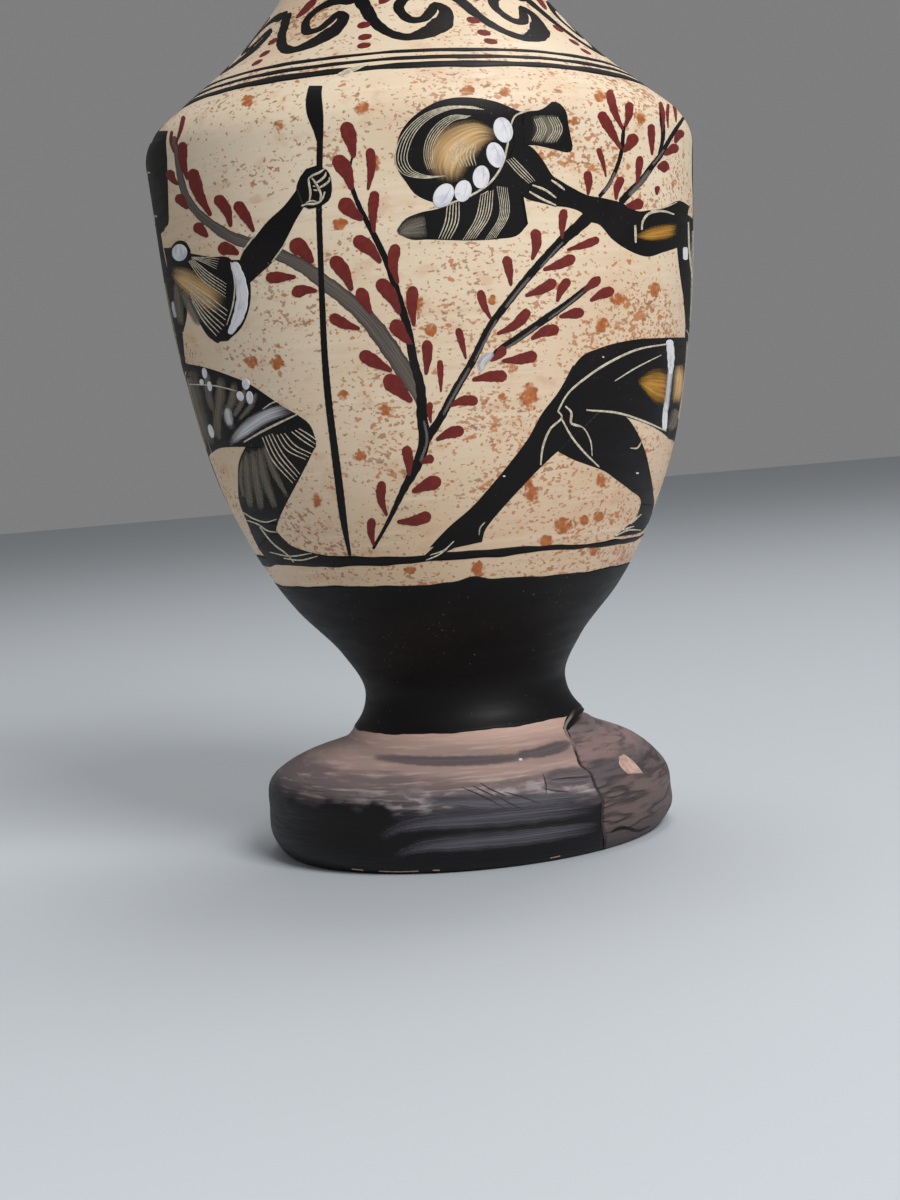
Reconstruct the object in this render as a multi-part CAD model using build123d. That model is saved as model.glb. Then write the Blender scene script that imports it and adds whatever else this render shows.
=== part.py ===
from build123d import *
import os

# A lekythos: a tall oil jug, thrown in sections that are luted together with slip.
# Millimetres, +Z up, origin on the table under the middle of the foot, handle towards +Y.

# Each rise is measured from the level below it. A flare is how far a wall stands out from the
# foot's edge, the stem, the waist or the neck, and an inset how far it stands in from the belly.

# Foot, from the table up
foot_edge_radius = 38.6
foot_edge_slope = 1.5
foot_lip_rise = 3.0
foot_lip_flare = 2.5
foot_swell_rise = 5.0
foot_swell_flare = 3.0
foot_crest_rise = 6.6
foot_crest_flare = 1.3
foot_brow_rise = 3.8
foot_brow_flare = 11.2
foot_apron_rise = 3.2
foot_apron_flare = 2.9
rest_ring_width = 8.0
recess_depth = 8.5
recess_roof_radius = 6.0

# Body, from the stem to the widest part of the belly
stem_rise = 3.2
stem_radius = 23.3
waist_rise = 6.2
waist_radius = 20.7
calf_rise = 8.6
calf_flare = 3.9
hip_rise = 9.9
hip_flare = 12.4
flank_rise = 19.8
flank_inset = 11.1
chest_rise = 29.7
chest_inset = 3.6
belly_rise = 39.0
belly_radius = 55.0
body_wall = 5.2
body_floor_rise = 4.4
body_floor_radius = 14.0

# Shoulder, round its edge and up the slope
edge_rise = 6.0
edge_inset = 2.0
ledge_rise = 4.5
ledge_inset = 7.1
slope_rise = 7.9
slope_flare = 17.1
bend_rise = 9.6
bend_flare = 8.2
shoulder_wall = 5.0

# Neck and mouth
neck_rise = 12.0
neck_radius = 21.4
throat_rise = 16.0
throat_radius = 15.2
mouth_rise = 12.0
mouth_radius = 16.6
cup_rise = 15.0
cup_radius = 26.0
rim_rise = 15.0
rim_radius = 30.0
rim_width = 5.5
rim_fall = 1.5
neck_bore_radius = 10.5
cup_wall = 6.0

# Change of radius over height where two sections meet
stem_slope = -0.9
belly_slope = 0.08
neck_slope = -0.55
mouth_slope = 0.3
cup_start_slope = 0.9
rim_slope = 0.1

# Luted joints between the sections
lute_gap = 0.1
stem_tenon_radius = 12.0
stem_tenon_length = 7.0
tongue_width = 1.8
tongue_height = 2.2
neck_spigot_length = 4.0
mouth_tenon_wall = 2.4
mouth_tenon_length = 3.0

# Break down the foot's +X side, as distances from the axis, and the glue in it
break_top = 23.9
break_apron = 24.4
break_swell = 26.8
break_base = 27.2
adhesive_thickness = 0.4

# Strap handle at the back, pressed wider where it is luted on
handle_width = 16.0
handle_thickness = 8.0
handle_root_width = 22.0
handle_root_rise = 3.0
handle_landing_width = 25.0
handle_reach = 44.0
handle_bend_radius = 14.0
handle_lean = 2.5

# Radii of the walls
foot_lip_radius = foot_edge_radius + foot_lip_flare
foot_swell_radius = foot_edge_radius + foot_swell_flare
foot_crest_radius = foot_edge_radius + foot_crest_flare
foot_brow_radius = stem_radius + foot_brow_flare
foot_apron_radius = stem_radius + foot_apron_flare
calf_radius = waist_radius + calf_flare
hip_radius = waist_radius + hip_flare
flank_radius = belly_radius - flank_inset
chest_radius = belly_radius - chest_inset
edge_radius = belly_radius - edge_inset
ledge_radius = belly_radius - ledge_inset
slope_radius = neck_radius + slope_flare
bend_radius = neck_radius + bend_flare

# Heights above the table
foot_lip_height = foot_lip_rise
foot_swell_height = foot_lip_height + foot_swell_rise
foot_crest_height = foot_swell_height + foot_crest_rise
foot_brow_height = foot_crest_height + foot_brow_rise
foot_apron_height = foot_brow_height + foot_apron_rise
stem_height = foot_apron_height + stem_rise
waist_height = stem_height + waist_rise
calf_height = waist_height + calf_rise
hip_height = calf_height + hip_rise
flank_height = hip_height + flank_rise
chest_height = flank_height + chest_rise
belly_height = chest_height + belly_rise
body_floor_height = calf_height + body_floor_rise
edge_height = belly_height + edge_rise
ledge_height = edge_height + ledge_rise
slope_height = ledge_height + slope_rise
bend_height = slope_height + bend_rise
neck_height = bend_height + neck_rise
throat_height = neck_height + throat_rise
mouth_height = throat_height + mouth_rise
cup_height = mouth_height + cup_rise
rim_height = cup_height + rim_rise
handle_root_height = throat_height + handle_root_rise


def at(radius, height):
    """The point of an outline at a radius and a height."""
    return (radius, 0, height)


def straight(*points):
    """Straight edges from point to point."""
    return [Line(start, end) for start, end in zip(points, points[1:])]


def wall(stations, start_slope, end_slope):
    """A thrown wall through stations (radius, height), with one cubic edge for each run.

    A slope is the change of radius over height. At an inner station it is that of the parabola
    through the station and its two neighbours, so the wall runs on smoothly.
    """
    rises = [high[1] - low[1] for low, high in zip(stations, stations[1:])]
    runs = [(high[0] - low[0]) / rise for low, high, rise in zip(stations, stations[1:], rises)]
    slopes = [start_slope]
    for below, above, rise_below, rise_above in zip(runs, runs[1:], rises, rises[1:]):
        slopes.append((below * rise_above + above * rise_below) / (rise_below + rise_above))
    slopes.append(end_slope)
    edges = []
    for index, rise in enumerate(rises):
        third = rise / 3
        (low_radius, low_height), (high_radius, high_height) = stations[index], stations[index + 1]
        edges.append(Bezier(
            at(low_radius, low_height),
            at(low_radius + slopes[index] * third, low_height + third),
            at(high_radius - slopes[index + 1] * third, high_height - third),
            at(high_radius, high_height),
        ))
    return edges


def thinned(stations, thickness):
    """The same stations, drawn in by a wall's thickness."""
    return [(radius - thickness, height) for radius, height in stations]


def turned(*edges):
    """The solid that a closed outline of edges makes when it is turned round Z."""
    return revolve(make_face(Wire(edges)), Axis.Z)


def disc(radius, low, high):
    """A plain round block on the axis."""
    return Pos(0, 0, low) * Cylinder(radius, high - low, align=(Align.CENTER, Align.CENTER, Align.MIN))


def ring(inner_radius, outer_radius, low, high):
    """A plain ring round the axis."""
    return disc(outer_radius, low, high) - disc(inner_radius, low, high)


# Outer outlines of the sections
foot_stations = [
    (foot_edge_radius, 0),
    (foot_lip_radius, foot_lip_height),
    (foot_swell_radius, foot_swell_height),
    (foot_crest_radius, foot_crest_height),
    (foot_brow_radius, foot_brow_height),
    (foot_apron_radius, foot_apron_height),
    (stem_radius, stem_height),
]
body_stations = [
    (stem_radius, stem_height),
    (waist_radius, waist_height),
    (calf_radius, calf_height),
    (hip_radius, hip_height),
    (flank_radius, flank_height),
    (chest_radius, chest_height),
    (belly_radius, belly_height),
]
shoulder_stations = [
    (belly_radius, belly_height),
    (edge_radius, edge_height),
    (ledge_radius, ledge_height),
    (slope_radius, slope_height),
    (bend_radius, bend_height),
    (neck_radius, neck_height),
]
neck_stations = [
    (neck_radius, neck_height),
    (throat_radius, throat_height),
    (mouth_radius, mouth_height),
]
mouth_stations = [
    (mouth_radius, mouth_height),
    (cup_radius, cup_height),
    (rim_radius, rim_height),
]
foot_outside = wall(foot_stations, foot_edge_slope, stem_slope)
body_outside = wall(body_stations, stem_slope, belly_slope)
shoulder_outside = wall(shoulder_stations, belly_slope, neck_slope)
neck_outside = wall(neck_stations, neck_slope, mouth_slope)
mouth_outside = wall(mouth_stations, cup_start_slope, rim_slope)


def thrown_foot():
    """The whole foot: a swelling disc with a coned hollow under it and a socket for the stem."""
    rest_inner = foot_edge_radius - rest_ring_width
    outline = foot_outside + straight(
        at(stem_radius, stem_height),
        at(0, stem_height),
        at(0, recess_depth),
        at(recess_roof_radius, recess_depth),
        at(rest_inner, 0),
        at(foot_edge_radius, 0),
    )
    socket = disc(
        stem_tenon_radius + lute_gap,
        stem_height - stem_tenon_length - lute_gap,
        stem_height,
    )
    return turned(*outline) - socket


def beyond_break(offset):
    """All that lies on the far side of the break, moved out along X by an offset."""
    far = 2 * foot_swell_radius
    crack = Spline(
        at(break_base + offset, 0),
        at(break_swell + offset, foot_swell_height),
        at(break_apron + offset, foot_brow_height),
        at(break_top + offset, stem_height),
    )
    region = make_face(Wire([crack] + straight(
        at(break_top + offset, stem_height),
        at(far, stem_height),
        at(far, 0),
        at(break_base + offset, 0),
    )))
    return extrude(region, amount=far, dir=(0, 1, 0), both=True)


def make_body():
    """The belly and its solid stem, hollow from the floor up, with a grooved rim and a tenon below."""
    inner_stations = thinned(body_stations[-3:], body_wall)
    well_radius, well_height = inner_stations[0]
    inside = wall(inner_stations, (flank_radius - hip_radius) / (flank_height - hip_height), belly_slope)
    floor = Bezier(
        at(body_floor_radius, body_floor_height),
        at(hip_radius - body_wall, body_floor_height),
        at(well_radius - body_wall, (body_floor_height + well_height) / 2),
        at(well_radius, well_height),
    )
    outline = body_outside + [floor] + inside + straight(
        at(belly_radius, belly_height),
        at(belly_radius - body_wall, belly_height),
    ) + straight(
        at(body_floor_radius, body_floor_height),
        at(0, body_floor_height),
        at(0, stem_height),
        at(stem_radius, stem_height),
    )
    tenon = disc(stem_tenon_radius, stem_height - stem_tenon_length, stem_height)
    groove_inner = belly_radius - (body_wall + tongue_width) / 2 - lute_gap
    groove = ring(
        groove_inner,
        groove_inner + tongue_width + 2 * lute_gap,
        belly_height - tongue_height - lute_gap,
        belly_height,
    )
    return turned(*outline) + tenon - groove


def make_shoulder():
    """The shoulder's sloping shell, with a tongue under its rim and a round opening for the neck."""
    inner_stations = thinned(shoulder_stations, shoulder_wall)
    inner_stations[0] = (belly_radius - body_wall, belly_height)
    inside = wall(inner_stations, belly_slope, neck_slope)
    outline = shoulder_outside + inside + straight(
        at(belly_radius, belly_height),
        at(belly_radius - body_wall, belly_height),
    ) + straight(
        at(neck_radius, neck_height),
        at(neck_radius - shoulder_wall, neck_height),
    )
    opening = disc(neck_radius - shoulder_wall, neck_height - neck_spigot_length - lute_gap, neck_height)
    tongue_inner = belly_radius - (body_wall + tongue_width) / 2
    tongue = ring(tongue_inner, tongue_inner + tongue_width, belly_height - tongue_height, belly_height)
    return turned(*outline) - opening + tongue


def make_neck():
    """The neck's tube, with a spigot below that enters the shoulder and a tenon above for the mouth."""
    outline = neck_outside + straight(
        at(mouth_radius, mouth_height),
        at(0, mouth_height),
        at(0, neck_height),
        at(neck_radius, neck_height),
    )
    spigot = disc(neck_radius - shoulder_wall - lute_gap, neck_height - neck_spigot_length, neck_height)
    tenon = disc(neck_bore_radius + mouth_tenon_wall, mouth_height, mouth_height + mouth_tenon_length)
    bore = disc(
        neck_bore_radius,
        neck_height - neck_spigot_length,
        mouth_height + mouth_tenon_length,
    )
    return turned(*outline) + spigot + tenon - bore


def make_mouth():
    """The calyx mouth: a swelling cup with a rim that falls inwards, socketed over the neck's tenon."""
    throat_floor = mouth_height + mouth_tenon_length
    lip_radius = rim_radius - rim_width
    cup = Bezier(
        at(neck_bore_radius, throat_floor),
        at(neck_bore_radius, (throat_floor + cup_height) / 2),
        at(cup_radius - cup_wall, cup_height),
        at(lip_radius, rim_height - rim_fall),
    )
    outline = mouth_outside + [cup] + straight(
        at(rim_radius, rim_height),
        at(lip_radius, rim_height - rim_fall),
    ) + straight(
        at(neck_bore_radius, throat_floor),
        at(neck_bore_radius, mouth_height),
        at(mouth_radius, mouth_height),
    )
    socket = disc(
        neck_bore_radius + mouth_tenon_wall + lute_gap,
        mouth_height,
        throat_floor,
    )
    return turned(*outline) - socket


def strap_section(place, along, width):
    """An oval across the strap at a place of its route, as wide as asked."""
    return Plane(place, x_dir=(1, 0, 0), z_dir=along) * Ellipse(width / 2, handle_thickness / 2)


def make_handle():
    """A pulled strap that leaves the neck level, bends down and lands on the shoulder's slope."""
    route = FilletPolyline(
        (0, 0, handle_root_height),
        (0, handle_reach - handle_lean, handle_root_height),
        (0, handle_reach, edge_height),
        radius=handle_bend_radius,
    )
    sections = [
        strap_section(route @ 0, route % 0, handle_root_width),
        strap_section(route @ 0.5, route % 0.5, handle_width),
        strap_section(route @ 1, route % 1, handle_landing_width),
    ]
    strap = sweep(sections, path=route, multisection=True)
    neck_core = turned(*neck_outside, *straight(
        at(mouth_radius, mouth_height),
        at(0, mouth_height),
        at(0, neck_height),
        at(neck_radius, neck_height),
    ))
    shoulder_core = turned(*shoulder_outside, *straight(
        at(neck_radius, neck_height),
        at(0, neck_height),
        at(0, belly_height),
        at(belly_radius, belly_height),
    ))
    return strap - neck_core - shoulder_core


whole_foot = thrown_foot()
half_glue = adhesive_thickness / 2
pieces = {
    "foot": whole_foot - beyond_break(-half_glue),
    "foot_fragment": whole_foot & beyond_break(half_glue),
    "repair_adhesive": (whole_foot & beyond_break(-half_glue)) - beyond_break(half_glue),
    "body": make_body(),
    "shoulder": make_shoulder(),
    "neck": make_neck(),
    "mouth": make_mouth(),
    "handle": make_handle(),
}

os.makedirs("parts", exist_ok=True)
for node, shape in pieces.items():
    export_step(shape, f"parts/{node}.step")
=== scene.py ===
import bmesh
import bpy
import numpy as np
from mathutils import Matrix


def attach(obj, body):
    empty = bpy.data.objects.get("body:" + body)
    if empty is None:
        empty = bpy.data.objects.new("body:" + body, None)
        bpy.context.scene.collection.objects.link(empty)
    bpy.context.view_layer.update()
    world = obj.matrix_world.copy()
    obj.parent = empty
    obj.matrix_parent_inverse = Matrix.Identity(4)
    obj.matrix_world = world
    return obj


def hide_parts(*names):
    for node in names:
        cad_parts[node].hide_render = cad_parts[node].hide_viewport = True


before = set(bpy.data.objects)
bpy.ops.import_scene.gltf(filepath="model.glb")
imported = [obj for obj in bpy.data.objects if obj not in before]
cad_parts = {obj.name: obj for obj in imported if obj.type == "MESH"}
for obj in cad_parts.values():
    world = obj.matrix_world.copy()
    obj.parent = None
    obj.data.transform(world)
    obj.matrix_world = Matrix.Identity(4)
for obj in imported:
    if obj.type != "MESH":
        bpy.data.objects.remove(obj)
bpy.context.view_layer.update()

# Camera
# The jug is seen from a forearm's length away and a little above its middle. The camera is held
# askew, so the jug leans in the picture, and the picture's top edge cuts off its neck.
picture_size = np.array((900, 1200))
lens, sensor = 60.0, 36.0
focus = lens / sensor * picture_size.max()
pitch, roll, yaw = np.radians((4.33, 4.99, -0.23))
stand = np.array((0.0, -0.4123, 0.0799))
ahead = np.array((np.sin(yaw) * np.cos(pitch), np.cos(yaw) * np.cos(pitch), -np.sin(pitch)))
sideways = np.array((np.cos(yaw), -np.sin(yaw), 0.0))
plumb = np.cross(ahead, sideways)
across = np.cos(roll) * sideways + np.sin(roll) * plumb
down = np.cos(roll) * plumb - np.sin(roll) * sideways


def set_up(name, data, axes=np.eye(3), place=(0.0, 0.0, 0.0)):
    """Adds an object to the scene at a place, with its own x, y and z along three axes."""
    thing = bpy.data.objects.new(name, data)
    placing = np.eye(4)
    placing[:3] = np.column_stack((*axes, place))
    thing.matrix_world = Matrix(placing)
    bpy.context.scene.collection.objects.link(thing)
    return thing


def sight_lines(pixels):
    """Directions from the camera through pixels.

    Each is ahead, plus the pixel's offset from the picture's middle over the focus.
    """
    offset = (np.asarray(pixels, float) - picture_size / 2) / focus
    return ahead + offset[..., :1] * across + offset[..., 1:] * down


camera = bpy.data.cameras.new("camera")
camera.lens = lens
camera.sensor_width = sensor
camera.clip_start = 0.01
bpy.context.scene.camera = set_up("camera", camera, (across, -down, -ahead), stand)

# Painted wall
# Belly and shoulder are thrown in clay, luted at the widest ring and brushed with a cream ground,
# which is flecked all over with rust. The shoulder was set on a little aslant, higher on the left.
mm = 0.001
ring_heights = {
    "foot": np.array((0.0, 3.0, 8.0, 14.6, 18.4, 21.6)) * mm,
    "body": np.array((24.8, 31.0, 39.6, 49.5, 69.3, 99.0)) * mm,
    "shoulder": np.array((138.0, 144.0, 148.5, 156.4, 166.0, 178.0)) * mm,
}
ring_depth = 0.02 * mm
stem_joint, neck_joint = ring_heights["body"][0], ring_heights["shoulder"][-1]
edge_slope, stem_slope, belly_slope, neck_slope = 1.5, -0.9, 0.08, -0.55
lean_heights = np.array((0.0, 12.0, 24.0, 110.0, 138.0, 150.0, 178.0)) * mm
leans = (0.0, -0.04, 0.0, 0.0, -0.04, -0.04, 0.0)
slide_heights = np.array((0.0, 14.0, 24.0)) * mm
slides = np.array((-1.0, -1.0, 0.0)) * mm
nearest, farthest, sight_steps = 0.33, 0.45, 400
stem_top, belly_start = 60.0 * mm, 60.5 * mm
stem_rows, belly_rows, hollow_rows, wall_columns = 60, 150, 50, 288
neck_hole, hole_depth = 12.0 * mm, 3.0 * mm
wall_across = 5.75 * mm
hollow_top, hollow_floor, floor_dip = neck_joint - 7.0 * mm, 46.0 * mm, 2.0 * mm
weld = 0.0001 * mm


def ring_radii(node, heights):
    """Outer radii of a turned node at heights where its mesh has a ring.

    Each is the reach of the vertex that is farthest from the axis.
    """
    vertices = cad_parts[node].data.vertices
    points = np.empty(3 * len(vertices))
    vertices.foreach_get("co", points)
    x, y, z = points.reshape(-1, 3).T
    on_ring = np.abs(z - np.asarray(heights)[:, None]) < ring_depth
    return np.where(on_ring, np.hypot(x, y), 0.0).max(axis=1)


def smooth(knots, values, places, given=()):
    """Values at places on a smooth line through values at knots, with one cubic for each run.

    The line's slope at a knot is that of the parabola through the knot and its two neighbours, and
    at an end that of the end run. A knot that is listed in given has the slope paired with it.
    """
    knots, values = np.asarray(knots, float), np.asarray(values, float)
    gaps = np.diff(knots)
    runs = np.diff(values) / gaps
    between = (runs[:-1] * gaps[1:] + runs[1:] * gaps[:-1]) / (gaps[:-1] + gaps[1:])
    slopes = np.concatenate((runs[:1], between, runs[-1:]))
    for knot, slope in given:
        slopes[knot] = slope
    run = np.clip(np.searchsorted(knots, places) - 1, 0, len(gaps) - 1)
    part = np.clip((places - knots[run]) / gaps[run], 0.0, 1.0)
    rest = 1.0 - part
    start = rest**2 * ((1 + 2 * part) * values[run] + part * gaps[run] * slopes[run])
    end = part**2 * ((1 + 2 * rest) * values[run + 1] - rest * gaps[run] * slopes[run + 1])
    return start + end


def eased(knots, values, places):
    """Values at places that pass from each knot's value to the next and rest at every knot."""
    return smooth(knots, values, places, [(knot, 0.0) for knot in range(len(knots))])


wall_heights = np.concatenate(list(ring_heights.values()))
wall_radii = np.concatenate([ring_radii(node, rings) for node, rings in ring_heights.items()])
wall_slopes = ((0, edge_slope), (6, stem_slope), (12, belly_slope), (17, neck_slope))


def wall_radius(height):
    """Radius of the jug's outside from the foot to the neck, smooth through the frame's rings."""
    return smooth(wall_heights, wall_radii, height, wall_slopes)


def aslant(points):
    """Points of the upright jug, moved as the real one is askew.

    Each is raised in proportion to its x, by a lean that changes with height, and slid along x.
    """
    x, y, height = np.moveaxis(points, -1, 0)
    raised = height + eased(lean_heights, leans, height) * x
    return np.stack((x + eased(slide_heights, slides, height), y, raised), -1)


def upright(points):
    """The inverse of aslant, found by moving a guess by what aslant still misses, three times."""
    guess = points
    for _ in range(3):
        guess = guess + points - aslant(guess)
    return guess


def wall_points(turn, height, lift=0.0):
    """Points of the upright jug's outside at a turn from its front and a height.

    They are lifted along the wall's normal, whose slope is measured over a short step of height.
    """
    step = 0.05 * mm
    slope = (wall_radius(height + step) - wall_radius(height - step)) / (2 * step)
    out = lift / np.sqrt(1 + slope**2)
    reach = wall_radius(height) + out
    return np.stack((reach * np.sin(turn), -reach * np.cos(turn), height - slope * out), -1)


def seen(pixels):
    """Turn and height on the jug at each pixel.

    It is the first place on the pixel's sight line that lies inside the wall, or where the line
    misses the jug, the place that comes closest.
    """
    rays = sight_lines(pixels)
    points = upright(stand + rays[:, None] * np.linspace(nearest, farthest, sight_steps)[:, None])
    depth = wall_radius(points[..., 2]) - np.hypot(points[..., 0], points[..., 1])
    first = np.where((depth > 0).any(axis=1), (depth > 0).argmax(axis=1), depth.argmax(axis=1))
    which = np.arange(len(rays))
    before = np.maximum(first - 1, 0)
    fall = depth[which, before] - depth[which, first] - 1e-12
    share = np.clip(depth[which, before] / fall, 0, 1)[:, None]
    hit = points[which, before] + share * (points[which, first] - points[which, before])
    return np.stack((np.arctan2(hit[:, 0], -hit[:, 1]), hit[:, 2]), -1)


def make_piece(name, grids, material, slot, *nodes, marks=None):
    """An object of quads over grids of points (rows, columns, 3), each closed round its columns.

    Points that coincide at a pole are merged. Marks, if given, are a grid (rows, columns, 2) for
    each grid of points, and become the piece's UV map.
    """
    corners, start = [], 0
    for grid in grids:
        rows, columns = grid.shape[:2]
        index = start + np.arange(rows * columns).reshape(rows, columns)
        beside = np.roll(index, -1, axis=1)
        quads = np.stack((index[:-1], beside[:-1], beside[1:], index[1:]), -1)
        corners.append(quads.reshape(-1, 4))
        start += rows * columns
    points = np.concatenate([grid.reshape(-1, 3) for grid in grids])
    corners = np.concatenate(corners)
    mesh = bpy.data.meshes.new(name)
    mesh.from_pydata(points.tolist(), [], corners.tolist())
    mesh.polygons.foreach_set("use_smooth", np.ones(len(corners), bool))
    if marks is not None:
        places = np.concatenate([mark.reshape(-1, 2) for mark in marks])
        brush_map = mesh.uv_layers.new(name="brush")
        brush_map.data.foreach_set("uv", places[corners.ravel()].ravel())
    merged = bmesh.new()
    merged.from_mesh(mesh)
    bmesh.ops.remove_doubles(merged, verts=merged.verts, dist=weld)
    bmesh.ops.dissolve_degenerate(merged, edges=merged.edges, dist=weld)
    merged.to_mesh(mesh)
    merged.free()
    mesh.materials.append(material)
    piece = set_up(name, mesh)
    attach(piece, "root")
    if nodes:
        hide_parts(*nodes)


def turned(outline, columns):
    """A grid of rings round the jug's axis, one for each radius and height of an outline."""
    turn = np.linspace(0, 2 * np.pi, columns, endpoint=False)
    radii, heights = np.moveaxis(outline[:, None], -1, 0)
    return np.stack((radii * np.sin(turn), -radii * np.cos(turn), heights + 0 * turn), -1)


def srgb(red, green, blue):
    """A linear colour with full alpha from a screen colour's three numbers, 0 to 255."""
    share = np.array((red, green, blue)) / 255
    linear = np.where(share <= 0.04045, share / 12.92, ((share + 0.055) / 1.055) ** 2.4)
    return (*linear.tolist(), 1.0)


class Finish:
    """A socket in a material's nodes. Arithmetic adds Math nodes, and node() adds any other."""

    def __init__(self, tree, socket=None):
        self.tree, self.socket = tree, socket

    def node(self, kind, settings, sockets, output=0):
        """Adds a node of a kind with its settings, sets or links its sockets, returns an output."""
        made = self.tree.nodes.new("ShaderNode" + kind)
        for name, value in settings.items():
            if name == "stops":
                ramp = made.color_ramp.elements
                for place, _ in value[2:]:
                    ramp.new(place)
                for element, (place, colour) in zip(ramp, value):
                    element.position, element.color = place, colour
            else:
                setattr(made, name, value)
        for name, value in sockets.items():
            if isinstance(value, Finish):
                self.tree.links.new(value.socket, made.inputs[name])
            else:
                made.inputs[name].default_value = value
        return Finish(self.tree, made.outputs[output])

    def maths(self, operation, first, second):
        """A Math node on two values."""
        return self.node("Math", {"operation": operation}, {0: first, 1: second})

    def __add__(self, other):
        return self.maths("ADD", self, other)

    def __radd__(self, other):
        return self.maths("ADD", other, self)

    def __sub__(self, other):
        return self.maths("SUBTRACT", self, other)

    def __rsub__(self, other):
        return self.maths("SUBTRACT", other, self)

    def __mul__(self, other):
        return self.maths("MULTIPLY", self, other)

    def __rmul__(self, other):
        return self.maths("MULTIPLY", other, self)

    def __truediv__(self, other):
        return self.maths("DIVIDE", self, other)

    def __rtruediv__(self, other):
        return self.maths("DIVIDE", other, self)

    def rise(self, low, high):
        """A soft step from 0 at low to 1 at high, or from 1 down to 0 where low is the greater."""
        sockets = {"Value": self, "From Min": low, "From Max": high}
        return self.node("MapRange", {"interpolation_type": "SMOOTHSTEP"}, sockets)

    def mix(self, first, second):
        """A colour that passes from first to second as this goes from 0 to 1."""
        return self.node("Mix", {"data_type": "RGBA"}, {0: self, 6: first, 7: second}, 2)

    def place(self, stretch=(1.0, 1.0, 1.0), kind="Object"):
        """Object coordinates, or the UV map's places along and across a film, stretched."""
        bare = self.node("TexCoord", {}, {}, kind)
        return self.node("Mapping", {}, {"Vector": bare, "Scale": stretch})

    def part(self, rank, kind="Object"):
        """The coordinate of a rank: 0 for x or along a film, 1 for y or across it, 2 for z."""
        return self.node("SeparateXYZ", {}, {0: self.place(kind=kind)}, rank)

    def noise(self, scale, stretch=(1.0, 1.0, 1.0), detail=3.0, kind="Object"):
        """Cloudy noise with a count of lumps for each metre, or for a film's length and width."""
        sockets = {"Vector": self.place(stretch, kind), "Scale": scale, "Detail": detail}
        return self.node("TexNoise", {}, sockets)

    def hairs(self, along, across, detail):
        """Streaks as a brush leaves them, with counts of lumps along and across a film."""
        return self.noise(1.0, (along, across, 1.0), detail, "UV")

    def inward(self):
        """How far inside its film a point lies: 0 on every edge and 1 in the middle."""
        u, v = self.part(0, "UV"), self.part(1, "UV")
        return u * (1 - u) * v * (1 - v) * 16.0

    def surface(self, colour, roughness, height, depth, gloss=0.5, cover=1.0):
        """Ends the material with a skin, and a relief of height times depth in metres."""
        bump = self.node("Bump", {}, {"Height": height, "Distance": depth})
        sockets = {"Base Color": colour, "Roughness": roughness, "Normal": bump}
        sockets |= {"Specular IOR Level": gloss, "Alpha": cover}
        skin = self.node("BsdfPrincipled", {}, sockets)
        end = self.tree.nodes.new("ShaderNodeOutputMaterial")
        self.tree.links.new(skin.socket, end.inputs["Surface"])


def new_material(name):
    """A material with no nodes yet, and the Finish that adds them."""
    material = bpy.data.materials.new(name)
    material.use_nodes = True
    material.node_tree.nodes.clear()
    return material, Finish(material.node_tree)


def flecks(finish, scale, threshold, crowd):
    """Ragged flecks where a fine noise rises over a threshold, which sinks where they crowd."""
    return (finish.noise(scale, (1.0, 1.0, 1.45), 1.5) - threshold + crowd).rise(0.0, 0.035)


pale_cream, deep_cream, lower_shade_cream = srgb(237, 218, 190), srgb(227, 201, 168), srgb(217, 184, 150)
rust_stain, warm_tint = srgb(206, 150, 106), srgb(210, 158, 118)
rust_fleck, rust_spot, brown_fleck = srgb(184, 106, 46), srgb(188, 104, 42), srgb(138, 86, 44)
brush_light, brush_shade = srgb(250, 238, 216), srgb(176, 142, 108)

cream_ground, finish = new_material("cream_ground")
x_across, z_up = finish.part(0), finish.part(2)
above_middle = z_up - 100.0 * mm
mottle = finish.noise(32.0, detail=4.0).rise(0.35, 0.68)
cream = mottle.mix(pale_cream, deep_cream)
# The cream darkens towards the bottom of the belly, painted shade where the wall turns down and
# away from the light.
cream = (z_up.rise(135.0 * mm, 60.0 * mm) * 0.5).mix(cream, lower_shade_cream)
stain = finish.noise(180.0, (1.0, 1.0, 1.6), 6.0).rise(0.55, 0.72) * 0.35
cream = stain.mix(cream, rust_stain)
# The cream turns warmer towards the right and the bottom.
warm = (x_across * 9.0 - above_middle * 7.0).rise(0.1, 0.9) * 0.3
cream = warm.mix(cream, warm_tint)
clusters = finish.noise(60.0, (1.0, 1.0, 1.4), 4.0) - 0.5
rust_crowd = clusters * 0.45 + x_across * 0.75 - above_middle * 0.5 + 0.015
brown_crowd = clusters * 0.55 - x_across * 0.2 + 0.03
cream = (flecks(finish, 1000.0, 0.64, rust_crowd) * 0.72).mix(cream, rust_fleck)
cream = (flecks(finish, 800.0, 0.68, brown_crowd) * 0.65).mix(cream, brown_fleck)
cream = (flecks(finish, 430.0, 0.7, rust_crowd) * 0.8).mix(cream, rust_spot)
brushed = finish.noise(45.0, (1.0, 1.0, 18.0), 5.0)
cream = (brushed.rise(0.55, 0.72) * 0.22).mix(cream, brush_light)
cream = (brushed.rise(0.45, 0.3) * 0.16).mix(cream, brush_shade)
finish.surface(cream, 0.42 + 0.2 * mottle, finish.noise(700.0) + 2.0 * brushed, 0.035 * mm)

outside_heights = np.concatenate((
    np.linspace(stem_joint, stem_top, stem_rows),
    np.linspace(belly_start, neck_joint, belly_rows),
))
inside_heights = np.linspace(hollow_top, hollow_floor, hollow_rows)
wall_outline = np.concatenate((
    ((0.0, stem_joint),),
    np.column_stack((wall_radius(outside_heights), outside_heights)),
    ((neck_hole, neck_joint), (neck_hole, neck_joint - hole_depth)),
    np.column_stack((wall_radius(inside_heights) - wall_across, inside_heights)),
    ((0.0, hollow_floor - floor_dip),),
))
wall = aslant(turned(wall_outline, wall_columns))
make_piece("painted_wall", [wall], cream_ground, "cream_ground", "body", "shoulder")

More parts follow.
